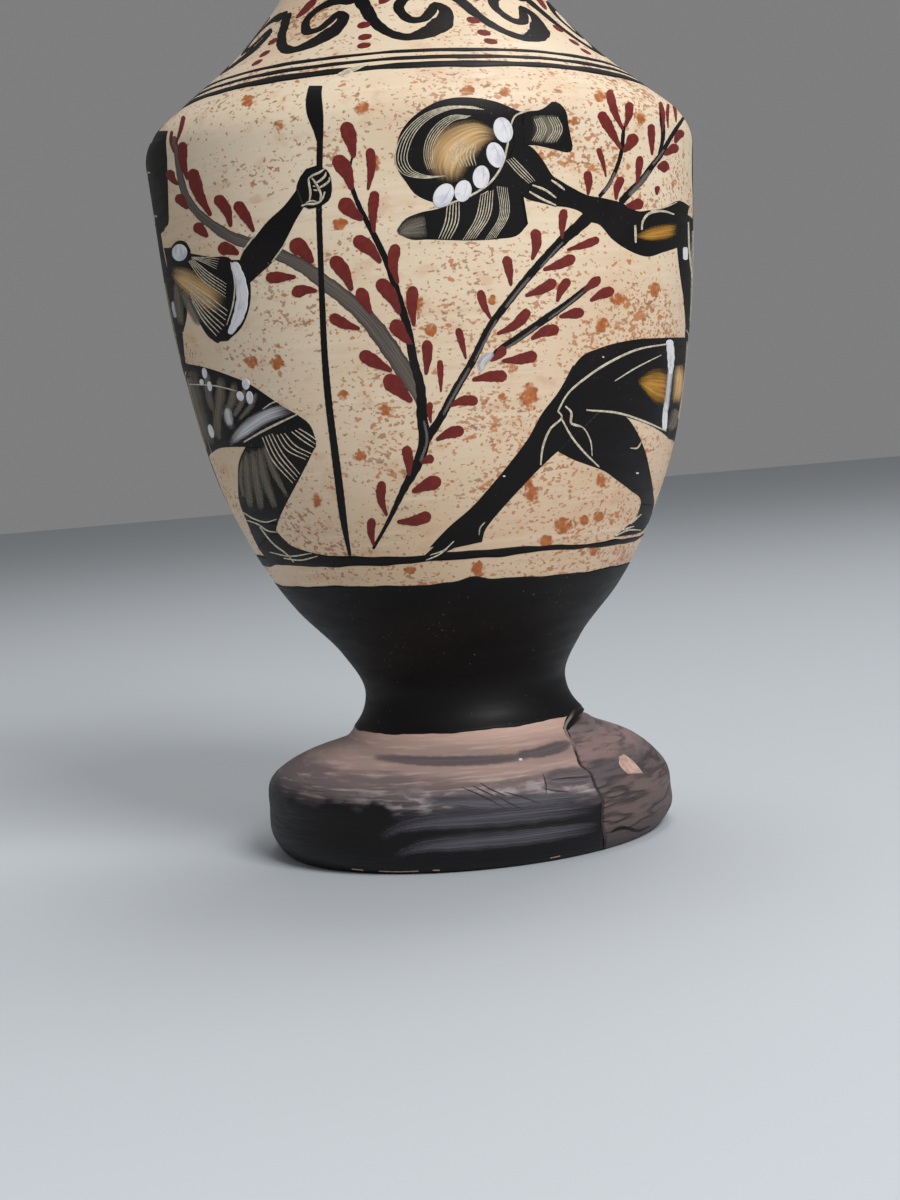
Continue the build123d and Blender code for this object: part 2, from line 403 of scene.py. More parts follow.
# Lower slip
# The bottom of the belly and the stem are dipped in black slip. The dip's upper edge was trued up
# on the wheel, and its lower edge, over the foot, was left ragged by the brush.
slip_top, slip_tilt = 54.7 * mm, -1.0 * mm
slip_lift, slip_sink = 0.06 * mm, 0.3 * mm
slip_drip, drip_reach, drip_height = (474, 577), 2.6 * mm, 0.9 * mm
low_ripple, high_ripple, stem_gap = 0.08 * mm, 0.16 * mm, 0.4 * mm
ripple_lag = 2.1
slip_rows, slip_columns = 70, 360
slip_foot_edge = (
    (330, 722), (370, 725), (395, 727), (423, 730), (451, 732), (475, 730), (501, 728), (535, 722),
    (559, 713), (573, 705),
)
slip_black, slip_brown, slip_dust = srgb(13, 10, 11), srgb(28, 22, 21), srgb(128, 118, 108)


def band(low, high, lift, rows):
    """A closed layer of slip right round the jug, between two lines of heights.

    The heights are given at evenly spread turns. The layer's inside lies a little under the wall.
    """
    turn = np.linspace(0, 2 * np.pi, len(low), endpoint=False)
    heights = low + np.linspace(0, 1, rows)[:, None] * (high - low)
    outside = aslant(wall_points(turn, heights, lift))
    inside = aslant(wall_points(turn, heights[::-1], -slip_sink))
    return np.concatenate((outside, inside, outside[:1]))


def ripple(turn, depth, *waves):
    """A wavering line round the jug.

    It adds sines with whole numbers of waves, each set off from the one before and half as deep.
    """
    return sum(depth / 2**rank * np.sin(count * turn + ripple_lag * rank)
               for rank, count in enumerate(waves))


black_slip, finish = new_material("black_slip")
streaks = finish.noise(120.0, (1.0, 1.0, 5.0), 4.0)
clouds = finish.noise(45.0, detail=5.0)
black = clouds.rise(0.45, 0.75).mix(slip_black, slip_brown)
dust = finish.noise(1900.0, (1.0, 1.0, 0.7), 1.5) + clouds * 0.25
black = (dust.rise(0.86, 0.9) * 0.45).mix(black, slip_dust)
finish.surface(black, 0.42 + 0.25 * streaks, streaks, 0.06 * mm, gloss=0.2)

around = np.linspace(0, 2 * np.pi, slip_columns, endpoint=False)
edge_turn, edge_height = seen(slip_foot_edge).T
edge_turn = np.concatenate((edge_turn, edge_turn[:1] + 2 * np.pi))
edge_height = np.concatenate((edge_height, edge_height[:1]))
slip_low = smooth(edge_turn, edge_height, (around - edge_turn[0]) % (2 * np.pi) + edge_turn[0])
slip_low = np.minimum(slip_low, stem_joint - stem_gap) + ripple(around, low_ripple, 11, 23, 47)
slip_high = slip_top + slip_tilt * np.sin(around) + ripple(around, high_ripple, 7, 19, 41)
drip_turn, drip_place = seen((slip_drip,))[0]
drip_off = ((around - drip_turn + np.pi) % (2 * np.pi) - np.pi) * wall_radius(drip_place)
slip_high = slip_high + drip_height * np.exp(-((drip_off / drip_reach) ** 2))
lower_slip = band(slip_low, slip_high, slip_lift, slip_rows)
make_piece("lower_slip", [lower_slip], black_slip, "black_slip")

# Neck
# The neck is a thrown tube that flares at its root, all in black slip. Its spigot stands in the
# shoulder's opening. The picture cuts it off, so its height and slimness follow the usual form.
neck_heights = np.array((neck_joint, 194.0 * mm, 206.0 * mm))
neck_top, neck_top_slope = neck_heights[-1], 0.3
neck_coat, neck_bore = 0.1 * mm, 10.5 * mm
skirt_depth, root_depth = 0.6 * mm, 2.0 * mm
neck_steps, neck_columns = 60, 144

neck_radii = ring_radii("neck", neck_heights)
neck_rows = np.linspace(neck_joint, neck_top, neck_steps)
neck_line = smooth(neck_heights, neck_radii, neck_rows, ((0, neck_slope), (2, neck_top_slope)))
neck_outline = np.concatenate((
    ((neck_bore, neck_joint - root_depth), (neck_radii[0] + neck_coat, neck_joint - skirt_depth)),
    np.column_stack((neck_line + neck_coat, neck_rows)),
    ((neck_bore, neck_top), (neck_bore, neck_joint - root_depth)),
))
neck_slip = aslant(turned(neck_outline, neck_columns))
make_piece("neck_slip", [neck_slip], black_slip, "black_slip", "neck")

# Mouth
# The calyx mouth is thrown by itself and set over the neck's tenon. It spreads like a cup to a
# broad flat rim that falls a little inwards, and is black inside and out. The picture cuts it off.
rim_height, rim_slope = 236.0 * mm, 0.1
cup_height, cup_root_slope = 221.0 * mm, 0.9
rim_round = 0.8 * mm
cup_curve = np.array(((24.5, 234.5), (20.0, 221.0), (10.5, 215.0), (10.5, 209.0))) * mm
lip_share = 0.06
mouth_steps, cup_steps, corner_steps, mouth_columns = 60, 40, 6, 192

mouth_heights = np.array((neck_top, cup_height, rim_height))
mouth_radii = ring_radii("mouth", mouth_heights)
mouth_rows = np.linspace(neck_top, rim_height - rim_round, mouth_steps)
mouth_slopes = ((0, cup_root_slope), (2, rim_slope))
mouth_line = smooth(mouth_heights, mouth_radii, mouth_rows, mouth_slopes)
corner_turn = np.linspace(0, np.pi / 2, corner_steps + 1)[1:]
rim_corner = np.column_stack((
    mouth_radii[2] - rim_round * (1 - np.cos(corner_turn)),
    rim_height - rim_round * (1 - np.sin(corner_turn)),
))
lip_turn = np.linspace(0, np.pi / 2, corner_steps)
rim_lip = np.column_stack((
    cup_curve[0, 0] + rim_round * (1 - np.sin(lip_turn)),
    cup_curve[0, 1] - rim_round * (1 - np.cos(lip_turn)),
))
gone = np.linspace(lip_share, 1, cup_steps)[:, None]
left = 1 - gone
cup_line = (left**3 * cup_curve[0] + 3 * gone * left**2 * cup_curve[1]
            + 3 * gone**2 * left * cup_curve[2] + gone**3 * cup_curve[3])
mouth_root = ((neck_bore, neck_top),)
mouth_side = np.column_stack((mouth_line, mouth_rows))
mouth_outline = np.concatenate((mouth_root, mouth_side, rim_corner, rim_lip, cup_line, mouth_root))
mouth_slip = aslant(turned(mouth_outline, mouth_columns))
make_piece("mouth_slip", [mouth_slip], black_slip, "black_slip", "mouth")

# Handle
# The strap handle is pulled from a lump of clay, bent over by hand, pressed on to the neck and
# smeared down on to the shoulder, where it widens. Black slip covers it.
handle_root = np.array((10.8, 197.0)) * mm
handle_bend = np.array((41.5, 197.0)) * mm
handle_landing = np.array((44.0, 144.0)) * mm
bend_radius = 14.0 * mm
strap_thickness = 8.0 * mm
strap_widths = np.array((22.0, 16.5, 16.0, 17.0, 25.0)) * mm
strap_places = (0.0, 0.3, 0.5, 0.72, 1.0)
root_swell, landing_swell, swell_reach = 0.18, 0.1, 0.05
strap_flatness = 0.85
strap_steps, strap_columns = 110, 40


def bent_route(start, corner, end, radius, rows):
    """Evenly spaced points and tangents in a plane, from a start to an end round a corner.

    They follow a straight run, an arc in place of the corner, and another straight run.
    """
    before, after = np.linalg.norm(corner - start), np.linalg.norm(end - corner)
    first, last = (corner - start) / before, (end - corner) / after
    bend = np.arccos(first @ last)
    cut = radius * np.tan(bend / 2)
    runs = np.array((before - cut, radius * bend, after - cut))
    gone = np.linspace(0, runs.sum(), rows)[:, None]
    run_in, arc, run_out = (np.clip(gone - runs[:rank].sum(), 0, runs[rank]) for rank in range(3))
    inward = (last - first * (first @ last)) / np.sin(bend)
    swing = arc / radius
    curve = radius * (np.sin(swing) * first + (1 - np.cos(swing)) * inward)
    points = start + run_in * first + curve + run_out * last
    return points, np.cos(swing) * first + np.sin(swing) * inward


def capped(grid, columns=slice(None)):
    """A grid closed at each end by a row that lies all at the mean of columns of the end row."""
    ends = grid[[0, -1]][:, columns].mean(axis=1, keepdims=True).repeat(grid.shape[1], axis=1)
    return np.concatenate((ends[:1], grid, ends[1:]))


route, tangent = bent_route(handle_root, handle_bend, handle_landing, bend_radius, strap_steps)
part_way = np.linspace(0, 1, strap_steps)
root_part = root_swell * np.exp(-part_way / swell_reach)
landing_part = landing_swell * np.exp((part_way - 1) / swell_reach)
half_width = smooth(strap_places, strap_widths, part_way)[:, None] / 2
half_thick = strap_thickness / 2 * (1 + root_part + landing_part)[:, None]
round_turn = np.linspace(0, 2 * np.pi, strap_columns, endpoint=False)
flat_across = np.sign(np.cos(round_turn)) * np.abs(np.cos(round_turn)) ** strap_flatness
strap = np.stack((
    half_width * flat_across,
    route[:, :1] + half_thick * np.sin(round_turn) * tangent[:, 1:],
    route[:, 1:] - half_thick * np.sin(round_turn) * tangent[:, :1],
), -1)
make_piece("handle_slip", [aslant(capped(strap))], black_slip, "black_slip", "handle")

# Foot
# The disc foot was broken on the right, and the piece was set back with glue. Its brown paint was
# brushed on while the disc turned, so it lies in level bands, and its lower edge is black.
edge_rows = np.array((0.0, 0.4, 1.0, 2.0, 3.0)) * mm
side_start, foot_top, foot_steps = 3.6 * mm, stem_joint - 0.05 * mm, 90
rest_inner, hollow_radius, hollow_height = 30.6 * mm, 6.0 * mm, 8.5 * mm
crack_pixels = (
    (574, 707), (565, 727), (571, 740), (577, 756), (580, 765), (590, 773), (596, 788), (603, 800),
    (602, 812), (603, 828), (604, 851),
)
break_heights = np.array((0.0, 8.0, 18.4, 24.8)) * mm
break_reach = np.array((27.2, 26.8, 24.4, 23.9)) * mm
crack_gap, shard_least = 0.16 * mm, 1.2 * mm
shard_underside = np.array(((28.2, 0.8), (30.6, 0.0))) * mm
disc_columns, shard_columns, chord_columns = 200, 90, 24
paint_top, foot_gloss = 25.0 * mm, 0.25
paint_stops = (
    (0.0, srgb(20, 18, 20)), (0.34, srgb(28, 26, 29)), (0.42, srgb(42, 39, 43)),
    (0.5, srgb(74, 67, 70)), (0.58, srgb(108, 97, 99)), (0.66, srgb(124, 107, 106)),
    (0.715, srgb(168, 143, 136)), (0.765, srgb(176, 149, 140)), (0.81, srgb(158, 136, 130)),
    (0.86, srgb(170, 144, 135)), (0.92, srgb(186, 155, 143)), (1.0, srgb(194, 161, 147)),
)
pale_streak_colour, haze_grey, foot_black = srgb(206, 184, 174), srgb(176, 166, 169), srgb(19, 16, 18)
shard_stops = (
    (0.0, srgb(78, 69, 70)), (0.2, srgb(99, 85, 83)), (0.42, srgb(113, 96, 93)),
    (0.54, srgb(100, 88, 89)), (0.62, srgb(96, 87, 90)), (0.7, srgb(138, 116, 114)),
    (0.78, srgb(150, 126, 122)), (0.84, srgb(122, 110, 110)), (1.0, srgb(136, 120, 118)),
)
shard_shade, crease_shade = srgb(66, 58, 60), srgb(48, 41, 43)

crack_turn, crack_height = seen(crack_pixels)[::-1].T
crack_reach = wall_radius(crack_height) * np.sin(crack_turn)


def break_line(heights):
    """How far right the break lies at heights: at the crack seen in front, and at the back."""
    front = np.interp(heights, crack_height, crack_reach)
    return front, np.interp(heights, break_heights, break_reach)


def broken_ring(radii, heights, side, columns):
    """Rings cut off by the break: for each radius and height, an arc and the chord that closes it.

    Side is -1 for the large part, left of the break, and 1 for the piece on its right. The chord
    runs from the crack seen in front to the break's place at the back. A ring that does not reach
    the break is whole, and its chord shrinks to a point.
    """
    radii, heights = radii[:, None], heights[:, None]
    front, back = (np.arccos(np.clip((reach + side * crack_gap) / np.maximum(radii, 1e-9), -1, 1))
                   for reach in break_line(heights))
    share = np.linspace(0, 1, columns)
    if side < 0:
        turn = (np.pi / 2 + back) * (1 - share) + (2.5 * np.pi - front) * share
    else:
        turn = (np.pi / 2 - front) * (1 - share) + (np.pi / 2 + back) * share
    arc = np.stack((radii * np.sin(turn), -radii * np.cos(turn)), -1)
    part = np.linspace(0, 1, chord_columns + 2)[1:-1, None]
    chord = arc[:, -1:] * (1 - part) + arc[:, :1] * part
    flat = np.concatenate((arc, chord), axis=1)
    return np.concatenate((flat, np.broadcast_to(heights[..., None], (*flat.shape[:2], 1))), -1)


foot_paint, finish = new_material("foot_paint")
x_across, z_up = finish.part(0), finish.part(2)
streaks = finish.noise(70.0, (1.0, 1.0, 7.0), 5.0)
fine_streaks = finish.noise(130.0, (1.0, 1.0, 14.0), 5.0)
streaked = z_up + (streaks - 0.5) * 4.0 * mm + (fine_streaks - 0.5) * 2.4 * mm + x_across * 0.07
paint_level = streaked / paint_top
brown = finish.node("ValToRGB", {"stops": paint_stops}, {"Fac": paint_level})
# Pale streaks over the upper, browner paint, and a pale grey haze in a band 11 to 17.5 mm up that
# fades out on the foot's left side.
brown = (fine_streaks.rise(0.5, 0.7) * paint_level.rise(0.42, 0.6) * 0.4).mix(brown, pale_streak_colour)
grey_haze = finish.noise(260.0, (1.0, 1.0, 3.0), 6.0).rise(0.47, 0.64) * x_across.rise(-0.03, -0.01)
grey_haze = grey_haze * z_up.rise(11.0 * mm, 13.5 * mm) * z_up.rise(17.5 * mm, 14.5 * mm) * 0.6
brown = grey_haze.mix(brown, haze_grey)
black_top = 10.6 * mm + 3.0 * mm * x_across.rise(-0.01, -0.018)
ragged = (finish.noise(120.0, (1.0, 1.0, 2.0), 7.0) - 0.5) * 9.0 * mm
brown = (z_up + ragged - black_top).rise(0.9 * mm, -0.9 * mm).mix(brown, foot_black)
finish.surface(brown, 0.4 + 0.25 * fine_streaks, fine_streaks, 0.14 * mm, foot_gloss)

shard_paint, finish = new_material("shard_paint")
z_up = finish.part(2)
fine_streaks = finish.noise(160.0, (1.0, 1.0, 8.0), 5.0)
shard_level = (z_up + (finish.noise(90.0, (1.0, 1.0, 4.0), 5.0) - 0.5) * 7.0 * mm) / paint_top
brown = finish.node("ValToRGB", {"stops": shard_stops}, {"Fac": shard_level})
brown = (fine_streaks.rise(0.52, 0.34) * 0.6).mix(brown, shard_shade)
# The shard's folds are sunk a little in the relief and darkened along their creases, which is
# painted shade in the folds.
folds = finish.noise(45.0, (1.0, 1.0, 8.0), 2.0)
creases = folds.rise(0.44, 0.5) * folds.rise(0.56, 0.5) * z_up.rise(18.0 * mm, 14.0 * mm)
brown = (creases * 0.62).mix(brown, crease_shade)
finish.surface(brown, 0.45 + 0.25 * fine_streaks, fine_streaks - creases, 0.3 * mm, foot_gloss)

foot_heights = np.concatenate((edge_rows, np.linspace(side_start, foot_top, foot_steps)))
foot_radii = wall_radius(foot_heights)
disc_radii = np.concatenate(((0.0, hollow_radius, rest_inner), foot_radii, (0.0,)))
disc_heights = np.concatenate(((hollow_height, hollow_height, 0.0), foot_heights, (foot_top,)))
foot_disc = broken_ring(disc_radii, disc_heights, -1, disc_columns)
make_piece("foot_disc", [aslant(foot_disc)], foot_paint, "foot_paint", "foot")

on_shard = foot_radii > np.maximum(*break_line(foot_heights)) + shard_least
shard_radii = np.concatenate((shard_underside[:, 0], foot_radii[on_shard]))
shard_heights = np.concatenate((shard_underside[:, 1], foot_heights[on_shard]))
foot_shard = capped(broken_ring(shard_radii, shard_heights, 1, shard_columns))
make_piece("foot_shard", [aslant(foot_shard)], shard_paint, "foot_paint", "foot_fragment")

# Lines round the jug
# Black lines were drawn with a loaded brush while the jug turned on the wheel: three on the
# shoulder, over the frieze, and one under it, on which the figures stand.
shoulder_lines = {
    "shoulder_line_1": (151.9 * mm, 0.7 * mm),
    "shoulder_line_2": (150.3 * mm, 0.8 * mm),
    "shoulder_line_3": (148.6 * mm, 1.3 * mm),
}
ground_height, ground_width, ground_press = 59.8 * mm, 1.5 * mm, 0.5
line_waver, ground_waver, line_swell = 0.1 * mm, 0.2 * mm, 0.16
line_lift, line_rows = 0.05 * mm, 4


def line_round(name, middle, half):
    """A black line right round the jug, from its middle heights and half widths."""
    line = band(middle - half, middle + half, line_lift, line_rows)
    make_piece(name, [line], black_slip, "black_slip")


for name, (line_height, line_width) in shoulder_lines.items():
    middle = line_height + ripple(around, line_waver, 3, 11, 29)
    line_round(name, middle, line_width / 2 * (1 + ripple(around, line_swell, 9, 23, 47)))
middle = ground_height + slip_tilt * np.sin(around) + ripple(around, ground_waver, 5, 13, 31)
pressed = 1 - ground_press * np.sin(around) + ripple(around, line_swell, 8, 21, 45)
line_round("ground_line", middle, ground_width / 2 * pressed)

# Scroll on the shoulder
# A running scroll in black slip goes round the shoulder in eleven waves. Each wave is one stroke
# that swells where it curls over, and the next begins where it ends.
scroll_waves = 11
scroll_wave = (
    (359, -2), (366, 8), (372, 18), (381, 27), (394, 34), (409, 37), (425, 34), (440, 27),
    (448, 19), (447, 9), (439, 5), (433, 12), (425, 19), (414, 20), (404, 14), (400, 7), (404, 0),
    (414, -6), (429, -9), (444, -8), (455, -2),
)
scroll_widths = np.array((2.7, 2.7, 2.5, 2.3, 2.2, 2.2, 2.4, 3.0, 3.9, 4.2, 3.2, 2.2, 2.0, 2.0, 2.0,
                          2.0, 2.1, 2.3, 2.5, 2.7, 2.7)) * mm
scroll_lift = 0.06 * mm
film_floor, film_sink, film_shoulder, film_step = 0.4 * mm, 0.06 * mm, 0.1 * mm, 1.2 * mm
film_columns, soft_most, top_inset, edge_lift = 40, 0.25, 1.5, 0.4
stroke_step, stroke_rows = 0.7 * mm, 6
wavers = ((0.05, 2.7, 0.0), (0.04, 6.1, 1.0))
end_places = np.array((0.0, 0.02, 0.08, 0.2, 0.4, 0.65, 1.0))


def film(left, right, lift):
    """A closed skin of paint between two edges of turns and heights, and its marks.

    A row of its section starts under the left edge, rises over a soft shoulder to the top, crosses,
    and ends under the right edge. The skin follows the wall, and its two ends shrink to a point.
    Nothing lies lower than film_floor, so no paint reaches under the foot. The marks give how far
    along and how far across the film each point lies.
    """
    forward = np.gradient((left + right) / 2, axis=0)
    aside = left - right
    if (forward[:, 0] * aside[:, 1] - forward[:, 1] * aside[:, 0]).sum() < 0:
        left, right = right, left
    widest = np.linalg.norm(wall_points(*left.T) - wall_points(*right.T), axis=1).max()
    columns = int(np.clip(widest / film_step, 1, film_columns)) + 2
    soft = min(soft_most, film_shoulder / widest)
    top = np.linspace(top_inset * soft, 1 - top_inset * soft, columns)
    share = np.concatenate(((0, 0, soft), top, (1 - soft, 1, 1)))
    low = edge_lift * lift
    rise = np.concatenate(((-film_sink, low), np.full(columns + 2, lift), (low, -film_sink)))
    turn = left[:, :1] + share * (right[:, :1] - left[:, :1])
    height = left[:, 1:] + share * (right[:, 1:] - left[:, 1:])
    skin = capped(wall_points(turn, np.maximum(height, film_floor), rise), [0, -1])
    length = np.linspace(0, 1, len(skin))[:, None] + 0 * share
    return aslant(skin), np.stack((length, share + 0 * length), -1)


def swept(length, widths, step):
    """Places along a stroke, closer near its ends, and half its width there, rounded at both ends.

    The widths are spread evenly over the stroke's length, and a smooth line goes through them. Two
    sines, each with a depth, a pace and a lead, make it waver by a tenth of its width at most.
    """
    widths = np.broadcast_to(widths, max(np.size(widths), 2))
    close = end_places * min(widths.max(), length) / 2
    evenly = np.linspace(0, length, int(length / step) + stroke_rows)
    places = np.concatenate((close, evenly, length - close))
    places = np.unique(np.round(np.clip(places, 0, length), 9))
    half = smooth(np.linspace(0, length, len(widths)), widths, places) / 2
    beat = places / half.max()
    half = half * (1 + sum(depth * np.sin(pace * beat + lead) for depth, pace, lead in wavers))
    room = np.clip(np.minimum(places, length - places) / np.maximum(half, 1e-6), 0, 1)
    return places, half * np.sqrt(np.clip(1 - (1 - room) ** 2, 1e-4, 1))


def distances(points):
    """How far each point lies from the first, along straight steps between them."""
    steps = np.linalg.norm(np.diff(points, axis=0), axis=1)
    return np.concatenate(((0.0,), np.cumsum(steps)))


def through(path, knots, places):
    """Points at places on a smooth line through a path, whose points lie at knots along it."""
    return np.column_stack([smooth(knots, values, places) for values in path.T])


def stroke(path, widths, lift):
    """A brush stroke on the wall along a path of turns and heights, with widths in metres."""
    knots = distances(wall_points(*path.T))
    places, half = swept(knots[-1], widths, stroke_step)
    middle = through(path, knots, places)
    centre = wall_points(*middle.T)
    outward = wall_points(*middle.T, 1 * mm) - centre
    aside = np.cross(outward, np.gradient(centre, places, axis=0))
    aside = aside / np.linalg.norm(aside, axis=1, keepdims=True) * half[:, None]
    edges = []
    for edge in (centre + aside, centre - aside):
        swing = np.arctan2(edge[:, 0], -edge[:, 1]) - middle[:, 0]
        turn = middle[:, 0] + np.arctan2(np.sin(swing), np.cos(swing))
        edges.append(np.column_stack((turn, edge[:, 2])))
    return film(*edges, lift)


def paint(name, films, material, slot, *nodes):
    """One piece of the jug from several films of the same paint."""
    grids, marks = zip(*films)
    make_piece(name, grids, material, slot, *nodes, marks=marks)


def round_jug(path, wave):
    """A path on the shoulder, moved on by a number of the scroll's waves."""
    return path + (2 * np.pi * wave / scroll_waves, 0.0)


scroll_path = seen(scroll_wave)
scroll_start = scroll_path[0].copy()
wave_turn = scroll_path[-1, 0] - scroll_start[0]
widened = 2 * np.pi / scroll_waves / wave_turn
scroll_path[:, 0] = scroll_start[0] + (scroll_path[:, 0] - scroll_start[0]) * widened
scroll_path[-1, 1] = scroll_start[1]
scroll_paths = [round_jug(scroll_path, wave) for wave in range(scroll_waves)]
scroll = [stroke(path, scroll_widths, scroll_lift) for path in scroll_paths]
paint("shoulder_scroll", scroll, black_slip, "black_slip")

# Dots under the scroll
# Three small maroon dabs stand in a column at the start of each wave, and one longer dab lies over
# it. Each is one touch of the brush, thinner in places and darker where the brush set down.
dot_middles = ((364, 25), (365, 37), (364, 45.5))
dot_length, dot_width = 2.6 * mm, 2.1 * mm
dab_over = ((394, -14), (388, -5), (380, 4))
dab_widths = np.array((2.4, 3.0, 1.0)) * mm
dot_lift = 0.06 * mm
maroon_deep, maroon_thin, maroon_start = srgb(111, 32, 28), srgb(134, 48, 35), srgb(82, 27, 26)

maroon_paint, finish = new_material("maroon_paint")
thin = finish.noise(900.0, detail=4.0)
maroon = (thin.rise(0.4, 0.65) * 0.5).mix(maroon_deep, maroon_thin)
maroon = (finish.part(0, "UV").rise(0.9, 0.2) * 0.35).mix(maroon, maroon_start)
finish.surface(maroon, 0.5 + 0.2 * thin, thin, 0.05 * mm, gloss=0.3)

dots = []
for wave in range(scroll_waves):
    for middle in seen(dot_middles):
        half_dot = np.array((dot_length / 2 / wall_radius(middle[1]), 0.0))
        path = round_jug(np.array((middle - half_dot, middle + half_dot)), wave)
        dots.append(stroke(path, dot_width, dot_lift))
    dots.append(stroke(round_jug(seen(dab_over), wave), dab_widths, dot_lift))
paint("shoulder_dots", dots, maroon_paint, "maroon_paint")

# Branches
# A dark stem rises from the ground line and forks in two, each fork with twigs. A broad bough in
# thinned grey slip crosses behind it from the left. The brush ran dry in places and left streaks.
branch_lift, bough_lift, streak_lift = 0.055 * mm, 0.04 * mm, 0.075 * mm
pixel_step = 4.0
branches = (
    (((373, 549), (388, 522), (405, 487), (417, 465), (424, 443), (422, 416), (420, 385),
      (414, 363), (408, 330), (398, 296), (388, 265), (373, 233), (361, 210), (352, 186),
      (350, 167), (353, 155)), (3, 4, 6, 9, 11, 11, 10, 9, 8.5, 8, 7.5, 6.5, 6, 5, 4, 2)),
    (((424, 443), (440, 419), (456, 389), (472, 362), (491, 325), (509, 301), (529, 276),
      (550, 253), (564, 239), (580, 225), (593, 212)), (9, 8, 8, 7.5, 7.5, 7.5, 7.5, 8, 9, 11, 13)),
    (((490, 360), (495, 354), (518, 338), (541, 322), (564, 306), (582, 292), (600, 277)),
     (5, 7, 7.5, 7.5, 7, 6, 5)),
    (((599, 197), (608, 186), (614, 174), (619, 161), (622, 148), (623, 136), (624, 126)),
     (4, 4, 4, 4, 4, 4, 3)),
    (((620, 203), (630, 192), (642, 180), (652, 166), (660, 156), (668, 142), (676, 129),
      (684, 117)), (7, 7, 7, 6, 5, 4, 4, 3)),
    (((659, 156), (663, 136), (662, 119), (660, 102)), (3, 4, 5, 3)),
)
bough = (
    (174, 136), (176, 148), (178, 161), (181, 180), (188, 200), (201, 216), (215, 227), (229, 236),
    (251, 244), (280, 255), (304, 267), (324, 282), (345, 298), (365, 316), (386, 343), (402, 367),
    (416, 390), (424, 414),
)
bough_widths = (4, 6, 7, 8, 9, 11, 12, 12, 13, 14, 15, 16, 17, 18, 18, 17, 13, 3)
streak_spread = 1.6
dry_streaks = (
    (((443, 415), (456, 391), (470, 367)), 2.5), (((474, 362), (486, 339), (497, 319)), 2.0),
    (((505, 308), (518, 291), (530, 277)), 2.5), (((540, 268), (552, 254), (563, 242)), 2.0),
    (((500, 352), (520, 339), (538, 326)), 2.0), (((548, 319), (566, 306), (584, 291)), 2.0),
    (((603, 193), (610, 183), (615, 172)), 2.5), (((628, 196), (640, 183), (650, 170)), 4.0),
    (((652, 165), (658, 158), (664, 149)), 2.0), (((420, 462), (427, 440), (424, 420)), 2.5),
)
bough_grey, bough_pale, bough_edge = srgb(80, 72, 67), srgb(116, 106, 96), srgb(54, 47, 44)
dry_pale, dry_dark = srgb(160, 152, 144), srgb(112, 105, 99)

grey_wash, finish = new_material("grey_wash")
hairs = finish.hairs(6.0, 14.0, 4.0)
grey = hairs.rise(0.35, 0.7).mix(bough_grey, bough_pale)
beside = finish.part(1, "UV")
grey = ((beside.rise(0.25, 0.0) + beside.rise(0.75, 1.0)) * 0.7).mix(grey, bough_edge)
finish.surface(grey, 0.5 + 0.2 * hairs, hairs, 0.05 * mm, gloss=0.3)


def drawn(path, widths, lift):
    """A brush stroke as the picture shows it: through pixels, with widths in pixels."""
    path = np.asarray(path, float)
    knots = distances(path)
    places, half = swept(knots[-1], widths, pixel_step)
    middle = through(path, knots, places)
    ahead_x, ahead_y = np.gradient(middle, places, axis=0).T
    aside = np.column_stack((-ahead_y, ahead_x)) * (half / np.hypot(ahead_x, ahead_y))[:, None]
    return film(seen(middle - aside), seen(middle + aside), lift)


def wash(name, thick, bare, cover):
    """A see-through wash of two colours, in faint hairs along the stroke and thin at its edges."""
    material, finish = new_material(name)
    hairs = finish.hairs(1.5, 12.0, 3.0)
    colour = hairs.rise(0.3, 0.7).mix(bare, thick)
    veil = (finish.inward() * (0.5 + 0.9 * hairs)).rise(0.08, 0.9) * cover
    finish.surface(colour, 0.5 + 0.2 * hairs, hairs, 0.03 * mm, 0.3, veil)
    return material


dry_brush = wash("dry_brush", dry_pale, dry_dark, 0.5)
stems = [drawn(path, widths, branch_lift) for path, widths in branches]
paint("dark_branches", stems, black_slip, "black_slip")
paint("grey_bough", [drawn(bough, bough_widths, bough_lift)], grey_wash, "grey_wash")
dry_films = [drawn(path, streak_spread * width, streak_lift) for path, width in dry_streaks]
paint("dry_streaks", dry_films, dry_brush, "grey_wash")

# Rust blots
# Besides the fine flecks in the ground, some larger drops of thin rust colour landed on the wall.
# They are ragged and see-through. Each has its middle, its width and its height.
rust_drops = (
    (529, 397, 16, 23), (248, 101, 14, 10), (362, 108, 13, 11), (280, 125, 10, 8),
    (340, 224, 13, 10), (375, 164, 10, 14), (414, 305, 16, 20), (602, 325, 14, 12),
    (563, 526, 16, 14), (546, 541, 14, 10), (599, 517, 10, 9), (619, 299, 15, 10),
    (431, 330, 10, 12), (584, 520, 9, 8), (531, 493, 13, 15), (493, 300, 9, 8), (386, 410, 15, 9),
    (252, 362, 14, 10), (317, 500, 9, 12), (360, 456, 13, 8), (410, 570, 10, 7), (478, 569, 12, 14),
    (594, 550, 10, 10), (467, 90, 12, 9), (505, 92, 10, 8), (600, 96, 12, 10), (640, 118, 10, 12),
    (574, 122, 9, 7), (655, 290, 9, 12), (601, 480, 10, 12), (512, 368, 10, 10), (503, 398, 8, 8),
    (525, 482, 10, 10), (277, 362, 12, 12), (343, 395, 9, 9),
)
drop_spread = (1.35, 1.3)
drop_lift = 0.02 * mm
dab_rows, dab_tip = 15, 0.02
drop_pale, drop_deep = srgb(202, 120, 58), srgb(174, 92, 36)

rust_wash, finish = new_material("rust_wash")
ragged = finish.noise(1000.0, detail=6.0)
rust = ragged.rise(0.4, 0.65).mix(drop_pale, drop_deep)
veil = (finish.inward() + (ragged - 0.5) * 3.2).rise(0.0, 1.1) * 0.92
finish.surface(rust, 0.5 + 0.1 * ragged, ragged, 0.02 * mm, cover=veil)


